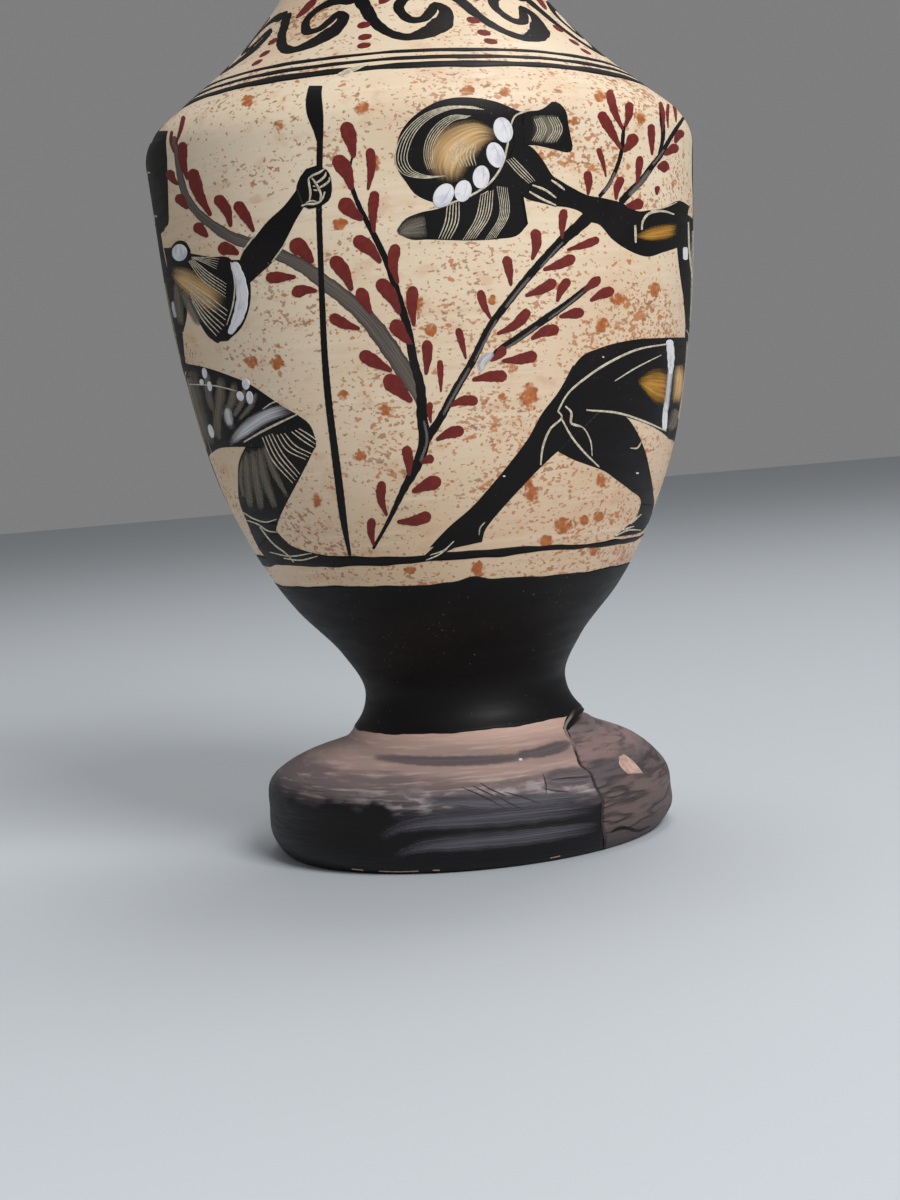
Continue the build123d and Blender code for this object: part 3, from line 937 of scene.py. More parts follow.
def dab(x, y, width, height, tilt, lift):
    """An oval dab in the picture: a film between the halves of an ellipse, tilted by degrees."""
    swing = np.linspace(dab_tip, np.pi - dab_tip, dab_rows)[:, None]
    spin = np.radians(tilt)
    long_axis, short_axis = (-np.sin(spin), np.cos(spin)), (np.cos(spin), np.sin(spin))
    spine = (x, y) + height / 2 * np.cos(swing) * long_axis
    reach = width / 2 * np.sin(swing) * short_axis
    return film(seen(spine - reach), seen(spine + reach), lift)


blots = []
for x, y, width, height in rust_drops:
    blots.append(dab(x, y, drop_spread[0] * width, drop_spread[1] * height, 0, drop_lift))
paint("rust_blots", blots, rust_wash, "ochre_wash")

# Leaves
# Each leaf is one touch of a round brush loaded with maroon: full at the tip, and drawn off to a
# point at the branch. The tip comes first, then the point, then the width.
leaf_lift = 0.08 * mm
leaf_form = np.array((0.3, 0.54, 0.82, 1.02, 1.08, 0.9))
leaf_bow = 0.1
front_leaves = (
    ((345, 122), (354, 158), 14), ((335, 156), (352, 190), 15), ((370, 148), (368, 190), 9),
    ((341, 199), (363, 220), 15), ((375, 191), (374, 233), 10), ((354, 238), (381, 263), 14),
    ((396, 244), (398, 284), 11), ((332, 257), (352, 291), 14), ((378, 280), (400, 314), 14),
    ((359, 288), (371, 314), 12), ((413, 286), (414, 326), 11), ((330, 316), (360, 329), 11),
    ((393, 320), (411, 344), 14), ((360, 353), (392, 371), 13), ((385, 376), (412, 402), 16),
    ((266, 278), (296, 277), 11), ((292, 294), (317, 291), 11), ((291, 241), (313, 263), 16),
    ((236, 202), (254, 232), 11), ((216, 196), (231, 227), 11), ((192, 169), (211, 216), 12),
    ((183, 142), (188, 180), 9), ((184, 116), (176, 144), 4), ((172, 131), (174, 153), 3),
    ((169, 170), (178, 185), 8), ((177, 195), (188, 209), 10), ((195, 224), (208, 237), 11),
    ((218, 248), (239, 254), 13), ((427, 340), (426, 375), 10), ((440, 360), (441, 392), 6),
    ((458, 328), (466, 359), 7), ((430, 402), (431, 423), 6), ((478, 401), (449, 406), 10),
    ((464, 430), (436, 440), 11), ((406, 446), (409, 476), 10), ((434, 458), (421, 463), 9),
    ((441, 480), (412, 492), 13), ((382, 481), (387, 516), 9), ((431, 515), (397, 522), 11),
    ((372, 518), (374, 546), 8), ((609, 90), (623, 130), 8), ((629, 102), (625, 127), 8),
    ((600, 112), (621, 149), 10), ((635, 134), (623, 152), 11), ((598, 148), (606, 177), 5),
    ((587, 171), (588, 195), 8), ((622, 177), (616, 200), 8), ((640, 156), (637, 184), 7),
    ((651, 124), (652, 155), 7), ((660, 102), (662, 132), 4), ((668, 104), (668, 128), 3),
    ((674, 105), (676, 122), 3), ((683, 131), (675, 143), 8), ((678, 146), (664, 155), 9),
    ((669, 167), (657, 167), 12), ((658, 186), (657, 195), 5), ((643, 202), (626, 206), 11),
    ((564, 209), (562, 239), 8), ((535, 229), (532, 260), 10), ((506, 256), (511, 286), 9),
    ((599, 239), (567, 250), 8), ((575, 257), (543, 270), 10), ((556, 281), (525, 296), 10),
    ((569, 279), (557, 302), 9), ((600, 278), (583, 292), 9), ((614, 290), (590, 301), 10),
    ((584, 312), (559, 317), 10), ((559, 329), (531, 339), 11), ((529, 310), (497, 334), 10),
    ((480, 290), (491, 319), 8), ((537, 355), (502, 361), 11), ((507, 376), (472, 380), 11),
    ((505, 347), (490, 361), 9),
)
hand = np.random.default_rng(7)


def leaf_path(tip, point):
    """Three places from a leaf's point to its tip. The middle one lies a little to one side."""
    tip, point = np.array(tip, float), np.array(point, float)
    aside_x, aside_y = (tip - point) * hand.uniform(-leaf_bow, leaf_bow)
    return np.array((point, (tip + point) / 2 + (-aside_y, aside_x), tip))


leaves = []
for tip, point, width in front_leaves:
    leaves.append(drawn(leaf_path(tip, point), width * leaf_form, leaf_lift))
paint("leaves", leaves, maroon_paint, "maroon_paint")

# Spear
# The left figure holds an upright spear in black slip: a long blade, and a thin shaft that passes
# through the fist and down to the ground line. The shaft is one pull of the brush.
spear_blade = (
    ((309, 86), (308, 118), (313.5, 131), (316.5, 141)),
    ((322.5, 86), (323.5, 118), (323.5, 130), (323, 141)),
)
spear_shaft = (
    (320, 139), (319.5, 165), (319, 208), (320.5, 255), (322.5, 310), (325, 360), (329, 405),
    (334, 445), (339, 484), (344, 523), (350, 556),
)
shaft_widths = (6, 6, 6, 6, 6.3, 6.5, 7, 7, 7.5, 7, 3)
figure_lift = 0.07 * mm
patch_step, patch_rows = 0.8 * mm, 6


def even(edge, count):
    """Evenly spaced places along a smooth line through turns and heights."""
    knots = distances(wall_points(*edge.T))
    return through(edge, knots, np.linspace(0, knots[-1], count))


def patch(first, second, lift):
    """A film between two edges, each a smooth line through pixels and shared out evenly."""
    edges = seen(first), seen(second)
    longest = max(distances(wall_points(*edge.T))[-1] for edge in edges)
    count = max(patch_rows, int(longest / patch_step))
    return film(*(even(edge, count) for edge in edges), lift)


spear = [patch(*spear_blade, figure_lift), drawn(spear_shaft, shaft_widths, figure_lift)]
paint("spear", spear, black_slip, "black_slip")

# Figures
# Two figures in solid black slip step towards each other. On the left are an arm with its sleeve,
# the drapery and a foot, and on the right an arm and bent legs. A bundle hangs between them.
left_figure = {
    "forearm": (
        ((298, 188), (284, 206), (267, 222), (255, 237), (243, 252), (239, 262)),
        ((304, 207), (296, 220), (288, 236), (282, 247), (274, 260), (262, 272), (250, 283)),
    ),
    "cuff": (
        ((226, 260), (232, 284), (231, 305), (223, 328), (216, 342)),
        ((243, 260), (250, 281), (250, 304), (243, 325), (228, 341)),
    ),
    "fist": (
        ((306, 169), (299, 179), (296, 192), (301, 205), (309, 209)),
        ((318, 165), (328, 171), (332, 186), (330, 199), (320, 207)),
    ),
    "sleeve": (
        ((180, 258), (177, 270), (181, 284), (189, 303), (199, 322), (208, 336), (217, 343)),
        ((184, 252), (210, 257), (232, 261), (236, 283), (235, 304), (229, 326), (219, 343)),
    ),
    "chest": (
        ((164, 248), (167, 264), (168.5, 282), (172, 302), (176, 320), (181, 332)),
        ((176, 248), (182, 264), (184, 282), (187, 300), (187, 314), (183.5, 332)),
    ),
    "brooch_ground": (
        ((171.5, 247), (175, 242.5), (181, 240.5), (187, 243.5), (190.5, 250)),
        ((171.5, 257), (175, 262), (181, 264.5), (187, 262), (190.5, 256)),
    ),
    "helmet": (
        ((168, 131), (166.5, 150), (167.5, 175), (168.5, 207), (168.5, 223), (165, 228)),
        ((151, 131), (150, 150), (150, 175), (151, 207), (153, 223), (155, 229)),
    ),
    "drapery": (
        ((185, 363), (207, 368), (228, 375), (251, 385), (269, 397), (282, 406), (296, 414),
         (310, 425), (316, 440)),
        ((212, 453), (221, 448), (233, 447), (248, 447), (262, 447), (282, 450), (300, 452),
         (310, 450), (316, 447)),
    ),
    "skirt": (
        ((246, 446), (239, 462), (238, 482), (241, 507), (246, 519)),
        ((316, 446), (306, 466), (294, 489), (284, 508), (278, 522)),
    ),
    "ankle": (
        ((246, 519), (252, 534), (260, 550), (266, 558)),
        ((278, 522), (277, 533), (284, 542), (292, 548)),
    ),
    "foot": (
        ((277, 532), (289, 544), (306, 551), (330, 556), (344, 558)),
        ((258, 545), (268, 558), (290, 561), (320, 562), (344, 561)),
    ),
}
bundle = {
    "ball": (
        ((396, 152), (399, 136), (407, 123), (419, 112), (434, 103), (452, 98), (476, 98),
         (497, 102), (514, 109), (524, 113)),
        ((396, 160), (399, 172), (406, 182), (414, 193), (432, 202), (452, 204), (474, 198),
         (494, 186), (508, 170), (524, 146)),
    ),
    "flap": (
        ((513, 118), (525, 112), (541, 109.5), (547.5, 105.5), (551, 102), (558, 102.5), (564, 108),
         (569, 128), (572.5, 146)),
        ((513, 143), (524, 145), (536, 145.5), (546, 147.5), (556, 150), (562, 151.5), (567, 152.5),
         (570, 152), (572, 150)),
    ),
    "neck": (
        ((514, 144), (530, 146), (542, 159), (554, 177), (563, 184)),
        ((506, 164), (511, 184), (527, 199), (542, 203), (556, 207)),
    ),
    "fold": (((500, 164), (512, 172), (532, 186)), ((486, 196), (504, 194), (526, 196))),
    "base": (
        ((397, 230), (404, 220), (419, 213), (437, 209), (456, 203), (481, 195), (502, 186),
         (522, 188)),
        ((399, 234), (411, 239.5), (428, 239.5), (445, 240), (471, 240.5), (497, 239), (518, 235),
         (528, 224)),
    ),
}
right_figure = {
    "arm": (
        ((556, 178), (571, 187), (587, 195), (603, 198), (622, 203), (637, 211), (650, 210),
         (668, 205), (677, 201), (689, 206)),
        ((552, 206), (570, 208), (582, 213), (588, 221), (598, 224), (612, 239), (630, 251),
         (646, 256.5), (664, 252), (679, 247)),
    ),
    "chest": (
        ((679, 221), (677, 246), (679, 267), (683, 295), (688, 320)),
        ((700, 221), (700, 246), (700, 267), (700, 295), (700, 320)),
    ),
    "thigh": (
        ((573, 367), (581, 357), (600, 348), (632, 340), (660, 338), (692, 338)),
        ((559, 392), (566, 410), (584, 412), (610, 412), (626, 417), (644, 423), (668, 438)),
    ),
    "front_shin": (
        ((573, 365), (559, 391), (541, 415), (529, 437), (509, 464), (490, 487), (472, 507),
         (449, 527), (430, 547)),
        ((590, 420), (572, 440), (557, 452), (541, 467), (520, 489), (500, 511), (487, 527),
         (481, 537), (470, 543)),
    ),
    "front_foot": (
        ((486, 523), (470, 530), (450, 534), (436, 545), (424, 556)),
        ((482, 542), (468, 545), (452, 549), (440, 556), (428, 561)),
    ),
    "rear_shin": (
        ((600, 410), (626, 417), (637, 432), (645, 451), (650, 472), (653, 492), (653, 508),
         (648, 524)),
        ((557, 451), (572, 459), (588, 465), (604, 471), (618, 481), (630, 490), (641, 503),
         (640, 514)),
    ),
    "rear_foot": (
        ((653, 505), (650, 518), (645, 528), (636, 534)),
        ((641, 503), (637, 516), (627, 526), (614, 537)),
    ),
    "knee": (((566, 396), (590, 402), (622, 412)), ((562, 430), (586, 446), (616, 456))),
}

figures = {"left_figure": left_figure, "bundle": bundle, "right_figure": right_figure}
for name, parts in figures.items():
    films = [patch(*edges, figure_lift) for edges in parts.values()]
    paint(name, films, black_slip, "black_slip")

# Washes over the figures
# Thin ochre and tan were brushed over the black on the sleeve, the bundle, the right arm and the
# thigh. A thinner khaki lies on the drapery, on both ends of the bundle and low on the thigh. The
# black shows through between the hairs of the brush.
wash_lift = 0.09 * mm
tan_patches = {
    "sleeve": (
        ((172, 264), (190, 267), (207, 277), (229, 291)),
        ((171, 278), (184, 295), (201, 309), (221, 320)),
    ),
    "bundle": (
        ((430, 182), (420, 160), (428, 136), (450, 122), (474, 118), (500, 130)),
        ((464, 184), (472, 168), (480, 156), (484, 150), (488, 146), (496, 142)),
    ),
    "thigh_side": (((672, 366), (671, 385), (669, 404)), ((684, 364), (683, 385), (680, 404))),
}
ochre_patches = {
    "arm": (
        ((634, 235), (646, 228), (659, 224), (677, 222)),
        ((634, 238), (649, 242), (662, 241), (677, 237)),
    ),
    "thigh": (((637, 378), (653, 367), (669, 368)), ((637, 384), (653, 404), (669, 409))),
}
khaki_patches = {
    "bundle_base": (((396, 230), (404, 219), (424, 211)), ((399, 236), (411, 240), (428, 240))),
    "bundle_flap": (((528, 116), (531, 130), (528, 143)), ((560, 115), (565, 129), (560, 144))),
}
khaki_spread = 1.5
khaki_pulls = (
    (((194, 368), (196, 395), (205, 425), (214, 447)), (11, 13, 11, 7)),
    (((207, 372), (209, 392), (213, 412)), (7, 7, 4)),
    (((221, 376), (221, 396), (218, 418), (219, 441)), (8, 9, 8, 6)),
    (((235, 382), (233, 400), (228, 413), (233, 430)), (6, 8, 8, 6)),
    (((246, 388), (242, 402), (234, 417)), (5, 6, 4)),
    (((257, 393), (251, 406), (239, 420)), (4, 5, 3)),
    (((243, 458), (241, 477), (244, 498)), (3, 4, 3)),
    (((247, 451), (248, 477), (251, 509)), (6, 8, 5)),
    (((253, 449), (257, 477), (262, 511)), (7, 9, 5)),
    (((260, 447), (265, 477), (276, 509)), (6, 8, 5)),
    (((264, 445), (274, 471), (288, 497)), (4, 6, 3)),
    (((177, 282), (179, 300), (182, 326)), (6, 8, 5)),
    (((183, 288), (190, 305), (200, 326)), (7, 9, 5)),
    (((675, 408), (673, 418), (669, 431)), (6, 9, 6)),
)
ochre_thick, ochre_bare = srgb(204, 150, 58), srgb(150, 102, 36)
tan_thick, tan_bare = srgb(230, 192, 138), srgb(190, 150, 98)
khaki_thick, khaki_bare = srgb(144, 134, 117), srgb(100, 92, 80)

ochre_wash = wash("ochre_wash", ochre_thick, ochre_bare, 0.95)
tan_wash = wash("tan_wash", tan_thick, tan_bare, 0.95)
khaki_wash = wash("khaki_wash", khaki_thick, khaki_bare, 0.72)
tan_films, ochre_films, khaki_films = (
    [patch(*edges, wash_lift) for edges in patches.values()]
    for patches in (tan_patches, ochre_patches, khaki_patches)
)
for path, widths in khaki_pulls:
    khaki_films.append(drawn(path, khaki_spread * np.array(widths), wash_lift))
paint("tan_washes", tan_films, tan_wash, "ochre_wash")
paint("ochre_washes", ochre_films, ochre_wash, "ochre_wash")
paint("khaki_washes", khaki_films, khaki_wash, "grey_wash")

# White dabs
# Thick chalky white, put on last: a brooch, the oval beads along the bundle's strap, dabs on the
# drapery, and bands on cuff, thigh and chest. The drapery's own band and the smears are thin. Each
# bead has its middle, its width, its height and its tilt in degrees.
white_lift = 0.14 * mm
beads = (
    (180, 252.5, 15, 17, 0), (503, 130, 19, 26, -18), (495.5, 155, 18, 26, -18),
    (481, 177, 17, 23, 8), (463, 191, 17, 22, 15), (443.5, 195.5, 19, 26, 34),
    (205, 373, 5, 11, -10), (202, 382, 4, 6, -10), (210, 386, 4.5, 10, -10),
    (246, 384, 7.5, 11, -10), (240.5, 396, 7, 10, -20), (250, 397.5, 7, 13, -5),
    (211.5, 431, 5, 14, -15), (603, 357, 2, 1.5, 0), (637, 473, 3, 1.6, 0), (504, 476, 3, 1.5, 0),
)
white_bands = (
    (((234, 262), (240, 279), (242.5, 296), (239.5, 314), (230, 334)), (8, 11, 12, 11, 5)),
    (((669, 339.5), (670.5, 356), (670, 374)), (7, 7, 4)),
    (((665.5, 402), (664.5, 418), (664, 430)), (3, 5, 4)), (((685, 247), (685, 260)), 4.6),
)
drapery_band = (
    ((228, 440), (242, 422), (262, 409), (280, 403), (290, 403)),
    ((231, 448), (251, 436), (269, 424), (286, 418), (297, 415)),
)
smears = (
    (((480, 372), (483, 361), (494, 353)), (6, 12, 6)),
    (((228, 407), (229, 416), (231, 426)), (7, 11, 7)),
    (((670.5, 364), (668, 386), (665, 412)), (7, 7, 7)),
    (((173.5, 301), (174.5, 309), (176.5, 318)), (4, 5, 4)),
)
chalk_white, chalk_blue, chalk_hair = srgb(232, 230, 232), srgb(172, 178, 198), srgb(160, 160, 168)
white_thick, white_bare = srgb(222, 222, 226), srgb(158, 154, 156)

white_paint, finish = new_material("white_paint")
chalk = finish.noise(420.0, detail=4.0)
white = (chalk.rise(0.48, 0.66) * 0.5).mix(chalk_white, chalk_blue)
white = (finish.hairs(1.2, 9.0, 4.0).rise(0.5, 0.68) * 0.55).mix(white, chalk_hair)
finish.surface(white, 0.5 + 0.15 * chalk, chalk, 0.06 * mm)
white_wash = wash("white_wash", white_thick, white_bare, 1.0)

white_films = [dab(*place, white_lift) for place in beads]
white_films += [drawn(path, widths, white_lift) for path, widths in white_bands]
paint("white_dabs", white_films, white_paint, "white_paint")
thin_films = [patch(*drapery_band, white_lift)]
thin_films += [drawn(path, widths, white_lift) for path, widths in smears]
paint("white_washes", thin_films, white_wash, "white_paint")

# Fine lines
# Folds, fingers, hems and muscles are drawn over the black in a pale thin line, many of them as
# fans of near-parallel lines. A fan goes from its first line to its last in a number of even steps.
# A scratch in the same pale colour breaks the lines on the shoulder.
fine_lift = 0.11 * mm
thin_width, broad_width = 1.65, 2.6
thin_line = np.array((0.7, 1.0, 1.0, 0.5)) * thin_width
broad_line = np.array((0.7, 1.0, 1.0, 0.6)) * broad_width
fan_share, fan_thinnest, fan_broadest = 0.3, 0.45, 0.85
thin_lines = (
    ((313, 186), (315.5, 186.5)), ((313.5, 190), (318, 190.5)),
    ((306, 203), (310, 201), (314.5, 201), (318, 202.5)), ((243, 251), (256, 233)),
    ((272, 262), (286, 243)), ((231, 262), (235, 284), (233, 305), (227, 325)),
    ((650, 211), (668, 206), (677, 202)), ((614.5, 381), (635.5, 368), (661, 355)),
    ((630, 448), (637, 448), (641, 442)), ((454, 541), (444, 550), (430, 555)),
    ((447, 549), (438, 555), (426, 560)), ((485, 522), (480, 528), (479, 535)),
    ((243, 512), (255, 519), (266, 522), (277, 519)),
    ((247, 520), (258, 524), (269, 531), (278, 532)),
    ((260, 527), (273, 543), (289, 556), (294, 562)), ((189, 384), (217, 386), (237, 391)),
    ((270, 552), (290, 556), (312, 553)), ((284, 558), (300, 560), (318, 556)),
    ((263, 409), (272, 403), (278, 401)), ((615, 536), (628, 530), (641, 530)),
    ((622, 530), (634, 526)), ((630, 524), (641, 514)),
    ((571, 423), (582, 427), (590, 440), (592, 456)), ((688, 222), (689, 250), (692, 280)),
)
broad_lines = (
    ((308.5, 178.5), (313.5, 175), (319.5, 172.5), (325, 168.5)),
    ((315.5, 183.5), (321.5, 179.5), (325.5, 175), (326, 172)),
    ((319, 188), (325, 184.5), (329.5, 180), (329.5, 177)),
    ((308.5, 178.5), (309.5, 186), (310.5, 193), (309.5, 201)),
    ((312, 178), (316, 183.5), (319, 189), (321, 195), (320, 200)),
    ((301.5, 206), (307.5, 204), (313.5, 204), (319.5, 202), (323, 197.5), (325, 191.5)),
    ((551, 180), (557, 184), (564.5, 190)), ((532, 185), (545, 190), (556, 198)),
    ((529, 191.5), (542, 199), (556, 205.5)),
    ((527, 111), (515, 116), (510, 129), (507, 147), (502, 165), (491.5, 181), (473.5, 194),
     (447.5, 204), (430, 208)),
    ((641.5, 230), (642.5, 221.5), (648, 214), (655.5, 211.5), (665, 211.5), (674, 214.5)),
    ((635, 225), (635.5, 243)),
    ((557.5, 411.5), (567, 394.5), (586, 377.5), (612.5, 360.5), (639, 349), (667, 344)),
    ((557.5, 411), (561.5, 415.5), (550, 429), (542.5, 448), (540.5, 465)),
    ((561.5, 419), (571, 436), (582, 450), (599, 467)),
    ((565, 406), (571, 412), (571, 423), (582, 427)),
    ((586, 410), (620, 413.5), (643, 421), (666, 431)),
    ((244, 442), (262, 431.5), (280, 422.5), (297, 414.5)),
)
line_fans = (
    (((192, 257), (205, 257.5), (219.5, 259)), ((192, 258), (205, 263), (217, 269)), 5),
    (((193, 259), (207, 271), (226.5, 284)), ((189, 261), (200, 277), (226, 297)), 5),
    (((190, 283), (210, 297), (228, 311)), ((188, 286), (206, 304), (226, 320)), 3),
    (((190, 290), (208, 311), (224.5, 326)), ((192, 300), (204, 321), (217, 336)), 4),
    (((474, 106.5), (445, 107), (424, 114.5), (407, 129), (397, 147), (395.5, 163), (402, 173),
      (419, 178), (447, 176)),
     ((484, 109.5), (452, 109), (432, 117), (416.5, 131), (409, 147), (407, 160), (412, 169.5),
      (424, 175), (447, 176)), 5),
    (((471, 116), (450, 116), (434.5, 126.5), (425.5, 142), (424, 157.5), (428, 170)),
     ((466, 118), (455, 120), (443.5, 129), (434.5, 142), (432, 155), (435, 168)), 5),
    (((460.5, 139.5), (448.5, 153.5), (455, 168)), ((476, 144.5), (473.5, 155), (476, 165.5)), 8),
    (((534, 119), (537.5, 129), (532, 141)), ((541, 117.5), (546, 129), (540, 142)), 5),
    (((547.5, 117), (553, 129), (546, 142.5)), ((557, 117), (562, 129), (556, 142)), 5),
    (((447.5, 204.5), (445, 222.5), (438.5, 239)), ((459, 202), (458, 222.5), (450, 239)), 5),
    (((481, 194), (476, 217.5), (463, 240)), ((493, 190), (490, 215), (475, 239)), 6),
    (((497, 186), (499.5, 215), (485, 240)), ((507, 187.5), (508.5, 215), (495.5, 238)), 6),
    (((506, 160), (517.5, 173), (529, 183.5)), ((513, 157.5), (525.5, 170.5), (535, 181)), 4),
    (((262.5, 437), (271.5, 458), (293, 483)), ((272, 433.5), (282, 452), (300, 474)), 4),
    (((277, 434.5), (286, 449), (306, 459.5)), ((284.5, 433), (295, 445), (312, 454)), 3),
    (((291.5, 431.5), (303, 440.5), (314, 447.5)), ((299, 428.5), (309, 434.5), (317, 440.5)), 3),
)
scratch, scratch_widths = ((338, 75), (352, 70), (366, 65)), (2, 5, 4, 1)
line_pale, line_worn = srgb(218, 208, 184), srgb(180, 168, 142)

pale_line, finish = new_material("pale_line")
wear = finish.noise(1500.0)
finish.surface(wear.rise(0.35, 0.65).mix(line_pale, line_worn), 0.5 + 0.1 * wear, wear, 0.03 * mm)


def fan(first, last, count):
    """Paths in even steps from a first line of points to a last."""
    first, last = np.array(first, float), np.array(last, float)
    return first + np.linspace(0, 1, count)[:, None, None] * (last - first)


fine_lines = [drawn(path, thin_line, fine_lift) for path in thin_lines]
for first, last, count in line_fans:
    gap = np.linalg.norm(np.subtract(first, last), axis=1).mean() / (count - 1)
    fan_line = thin_line * np.clip(fan_share * gap, fan_thinnest, fan_broadest)
    fine_lines += [drawn(path, fan_line, fine_lift) for path in fan(first, last, count)]
fine_lines += [drawn(path, broad_line, fine_lift) for path in broad_lines]
fine_lines.append(drawn(scratch, scratch_widths, fine_lift))
paint("fine_lines", fine_lines, pale_line, "cream_ground")

# Sides and back
# The picture shows only the front. The figures go on round the sides as plain silhouettes in
# helmets, the left one with a shield, and leafy branches fill the back. Places here are in degrees
# from the front and millimetres up, and widths in millimetres.
side_figures = {
    "left_helmet": (
        ((-69, 125.5), (-64, 129.5), (-61.5, 135), (-62, 141.5)),
        ((-83, 125), (-89, 131), (-88, 137), (-79, 142.5)),
    ),
    "left_neck": (((-73, 127), (-73, 122), (-71, 117)), ((-85, 127), (-87, 123), (-94, 120))),
    "left_chest": (
        ((-71, 118), (-68, 112), (-69, 107), (-74, 100)),
        ((-95, 121), (-100, 112), (-99, 104), (-97, 98)),
    ),
    "left_kilt": (((-73, 101.5), (-74, 94), (-73.5, 83)), ((-98, 100), (-104, 91), (-107, 80))),
    "right_helmet": (
        ((82, 126), (79, 132), (80, 137), (85, 141.5)),
        ((97, 126), (103, 132), (102, 137), (93, 142.5)),
    ),
    "right_neck": (((84, 128), (83, 124), (78, 121)), ((95, 128), (96, 124), (99, 121))),
    "right_chest": (
        ((70, 122), (65, 115), (68.5, 106), (74, 99)),
        ((100, 121), (103, 112), (101, 104), (99, 97)),
    ),
    "right_hips": (
        ((73, 101), (75, 94), (73, 86), (69.5, 78)),
        ((99, 99), (101, 92), (96, 84), (86, 77)),
    ),
    "right_cloak": (
        ((98, 119), (106, 107), (110, 94), (114, 80)),
        ((103, 121), (116, 109), (122, 95), (128, 78)),
    ),
}
side_strokes = {
    "left_crest": (
        ((-72, 144), (-80, 146), (-89, 144), (-95, 138), (-97, 128)),
        (1.6, 3.6, 4.2, 4.0, 2.0),
    ),
    "left_arm": (((-94, 118), (-106, 111), (-116, 104)), (8, 6.5, 5)),
    "left_leg": (((-84, 84), (-91, 74), (-97, 66), (-101, 61.5)), (12, 10, 6.5, 4.5)),
    "left_foot": (((-102, 61.8), (-96, 61.6), (-89, 61)), (4.0, 3.6, 2.0)),
    "right_crest": (
        ((84, 144), (92, 146), (101, 144), (108, 138), (110, 128)),
        (1.6, 3.6, 4.2, 4.0, 2.0),
    ),
    "right_arm": (((99, 118), (112, 112), (121, 120), (122, 130)), (8, 7, 5.5, 4)),
    "right_spear": (((132, 96), (122, 128), (116, 144)), (1.2, 1.3, 1.2)),
}
shield_middle, shield_radius = (-119, 103), 15.5 * mm
shield_rings = (0.9, 0.64, 0.28)
side_fans = (
    (((-76, 98), (-77, 92), (-78, 84)), ((-97, 97), (-101, 90), (-104, 82)), 9),
    (((-78, 117), (-77, 111), (-79, 102)), ((-86, 118), (-86, 111), (-87, 101)), 5),
    (((100, 117), (108, 105), (115, 82)), ((103, 118), (114, 107), (124, 82)), 5),
    (((78, 119), (77, 112), (80, 101)), ((86, 120), (85, 112), (88, 100)), 5),
    (((78, 97), (80, 90), (78, 82)), ((96, 96), (97, 90), (90, 81)), 7),
)
side_lines = (
    ((-74, 128.5), (-79, 129), (-84, 127)), ((-74, 136.5), (-79, 137), (-85, 134)),
    ((82, 127), (91, 129), (100, 127)), ((83, 134), (91, 137), (100, 134)),
    ((-75, 99.5), (-86, 98), (-97, 98.5)), ((75, 99), (88, 97.5), (99, 98)),
)
side_width, side_rows, ring_rows = 0.33 * mm, 40, 49
back_branches = (
    (((138, 61), (146, 76), (155, 92), (158, 108), (156, 122), (150, 134)),
     (1.2, 1.4, 1.2, 1.1, 0.9, 0.4), 15),
    (((153, 88), (165, 96), (173, 108), (176, 120)), (0.9, 1.1, 0.9, 0.4), 9),
)
leaf_reach, leaf_rise, leaf_width = (3.5, 5.2), (4.0, 6.5), (1.6, 2.4)


def at(places):
    """Turns and heights in radians and metres from places in degrees and millimetres."""
    return np.array(places, float) * (np.pi / 180, mm)


def shield_edge(share, swing):
    """Places on a circle in the shield, a share of its size, at angles from its right side."""
    turn, height = at(shield_middle)
    reach = share * shield_radius
    turns = turn + reach * np.cos(swing) / wall_radius(height)
    return np.column_stack((turns, height + reach * np.sin(swing)))


half_circle = np.linspace(dab_tip - np.pi / 2, np.pi / 2 - dab_tip, side_rows)
whole_circle = np.linspace(0, 2 * np.pi, ring_rows)
side_films = []
for edges in side_figures.values():
    side_films.append(film(*(even(at(edge), side_rows) for edge in edges), figure_lift))
for path, widths in side_strokes.values():
    side_films.append(stroke(at(path), np.array(widths) * mm, figure_lift))
shield_edges = shield_edge(1.0, np.pi - half_circle), shield_edge(1.0, half_circle)
side_films.append(film(*shield_edges, figure_lift))
paint("side_figures", side_films, black_slip, "black_slip")

twigs, back_leaves = [], []
for side in (-1, 1):
    for path, widths, count in back_branches:
        twig = at(path) * (side, 1)
        twigs.append(stroke(twig, np.array(widths) * mm, branch_lift))
        for rank, point in enumerate(even(twig, count + 2)[2:]):
            reach = hand.uniform(*leaf_reach) * (-1) ** rank
            tip = np.array((reach, hand.uniform(*leaf_rise))) * mm
            leaf = point + leaf_path(tip, (0.0, 0.0)) / (wall_radius(point[1]), 1.0)
            back_leaves.append(stroke(leaf, hand.uniform(*leaf_width) * mm * leaf_form, leaf_lift))
paint("back_branches", twigs, black_slip, "black_slip")
paint("back_leaves", back_leaves, maroon_paint, "maroon_paint")

side_paths = [at(path) for path in side_lines]
side_paths += [at(path) for lines in side_fans for path in fan(*lines)]
side_paths += [shield_edge(share, whole_circle) for share in shield_rings]
side_strips = [stroke(path, side_width, fine_lift) for path in side_paths]
paint("side_lines", side_strips, pale_line, "cream_ground")
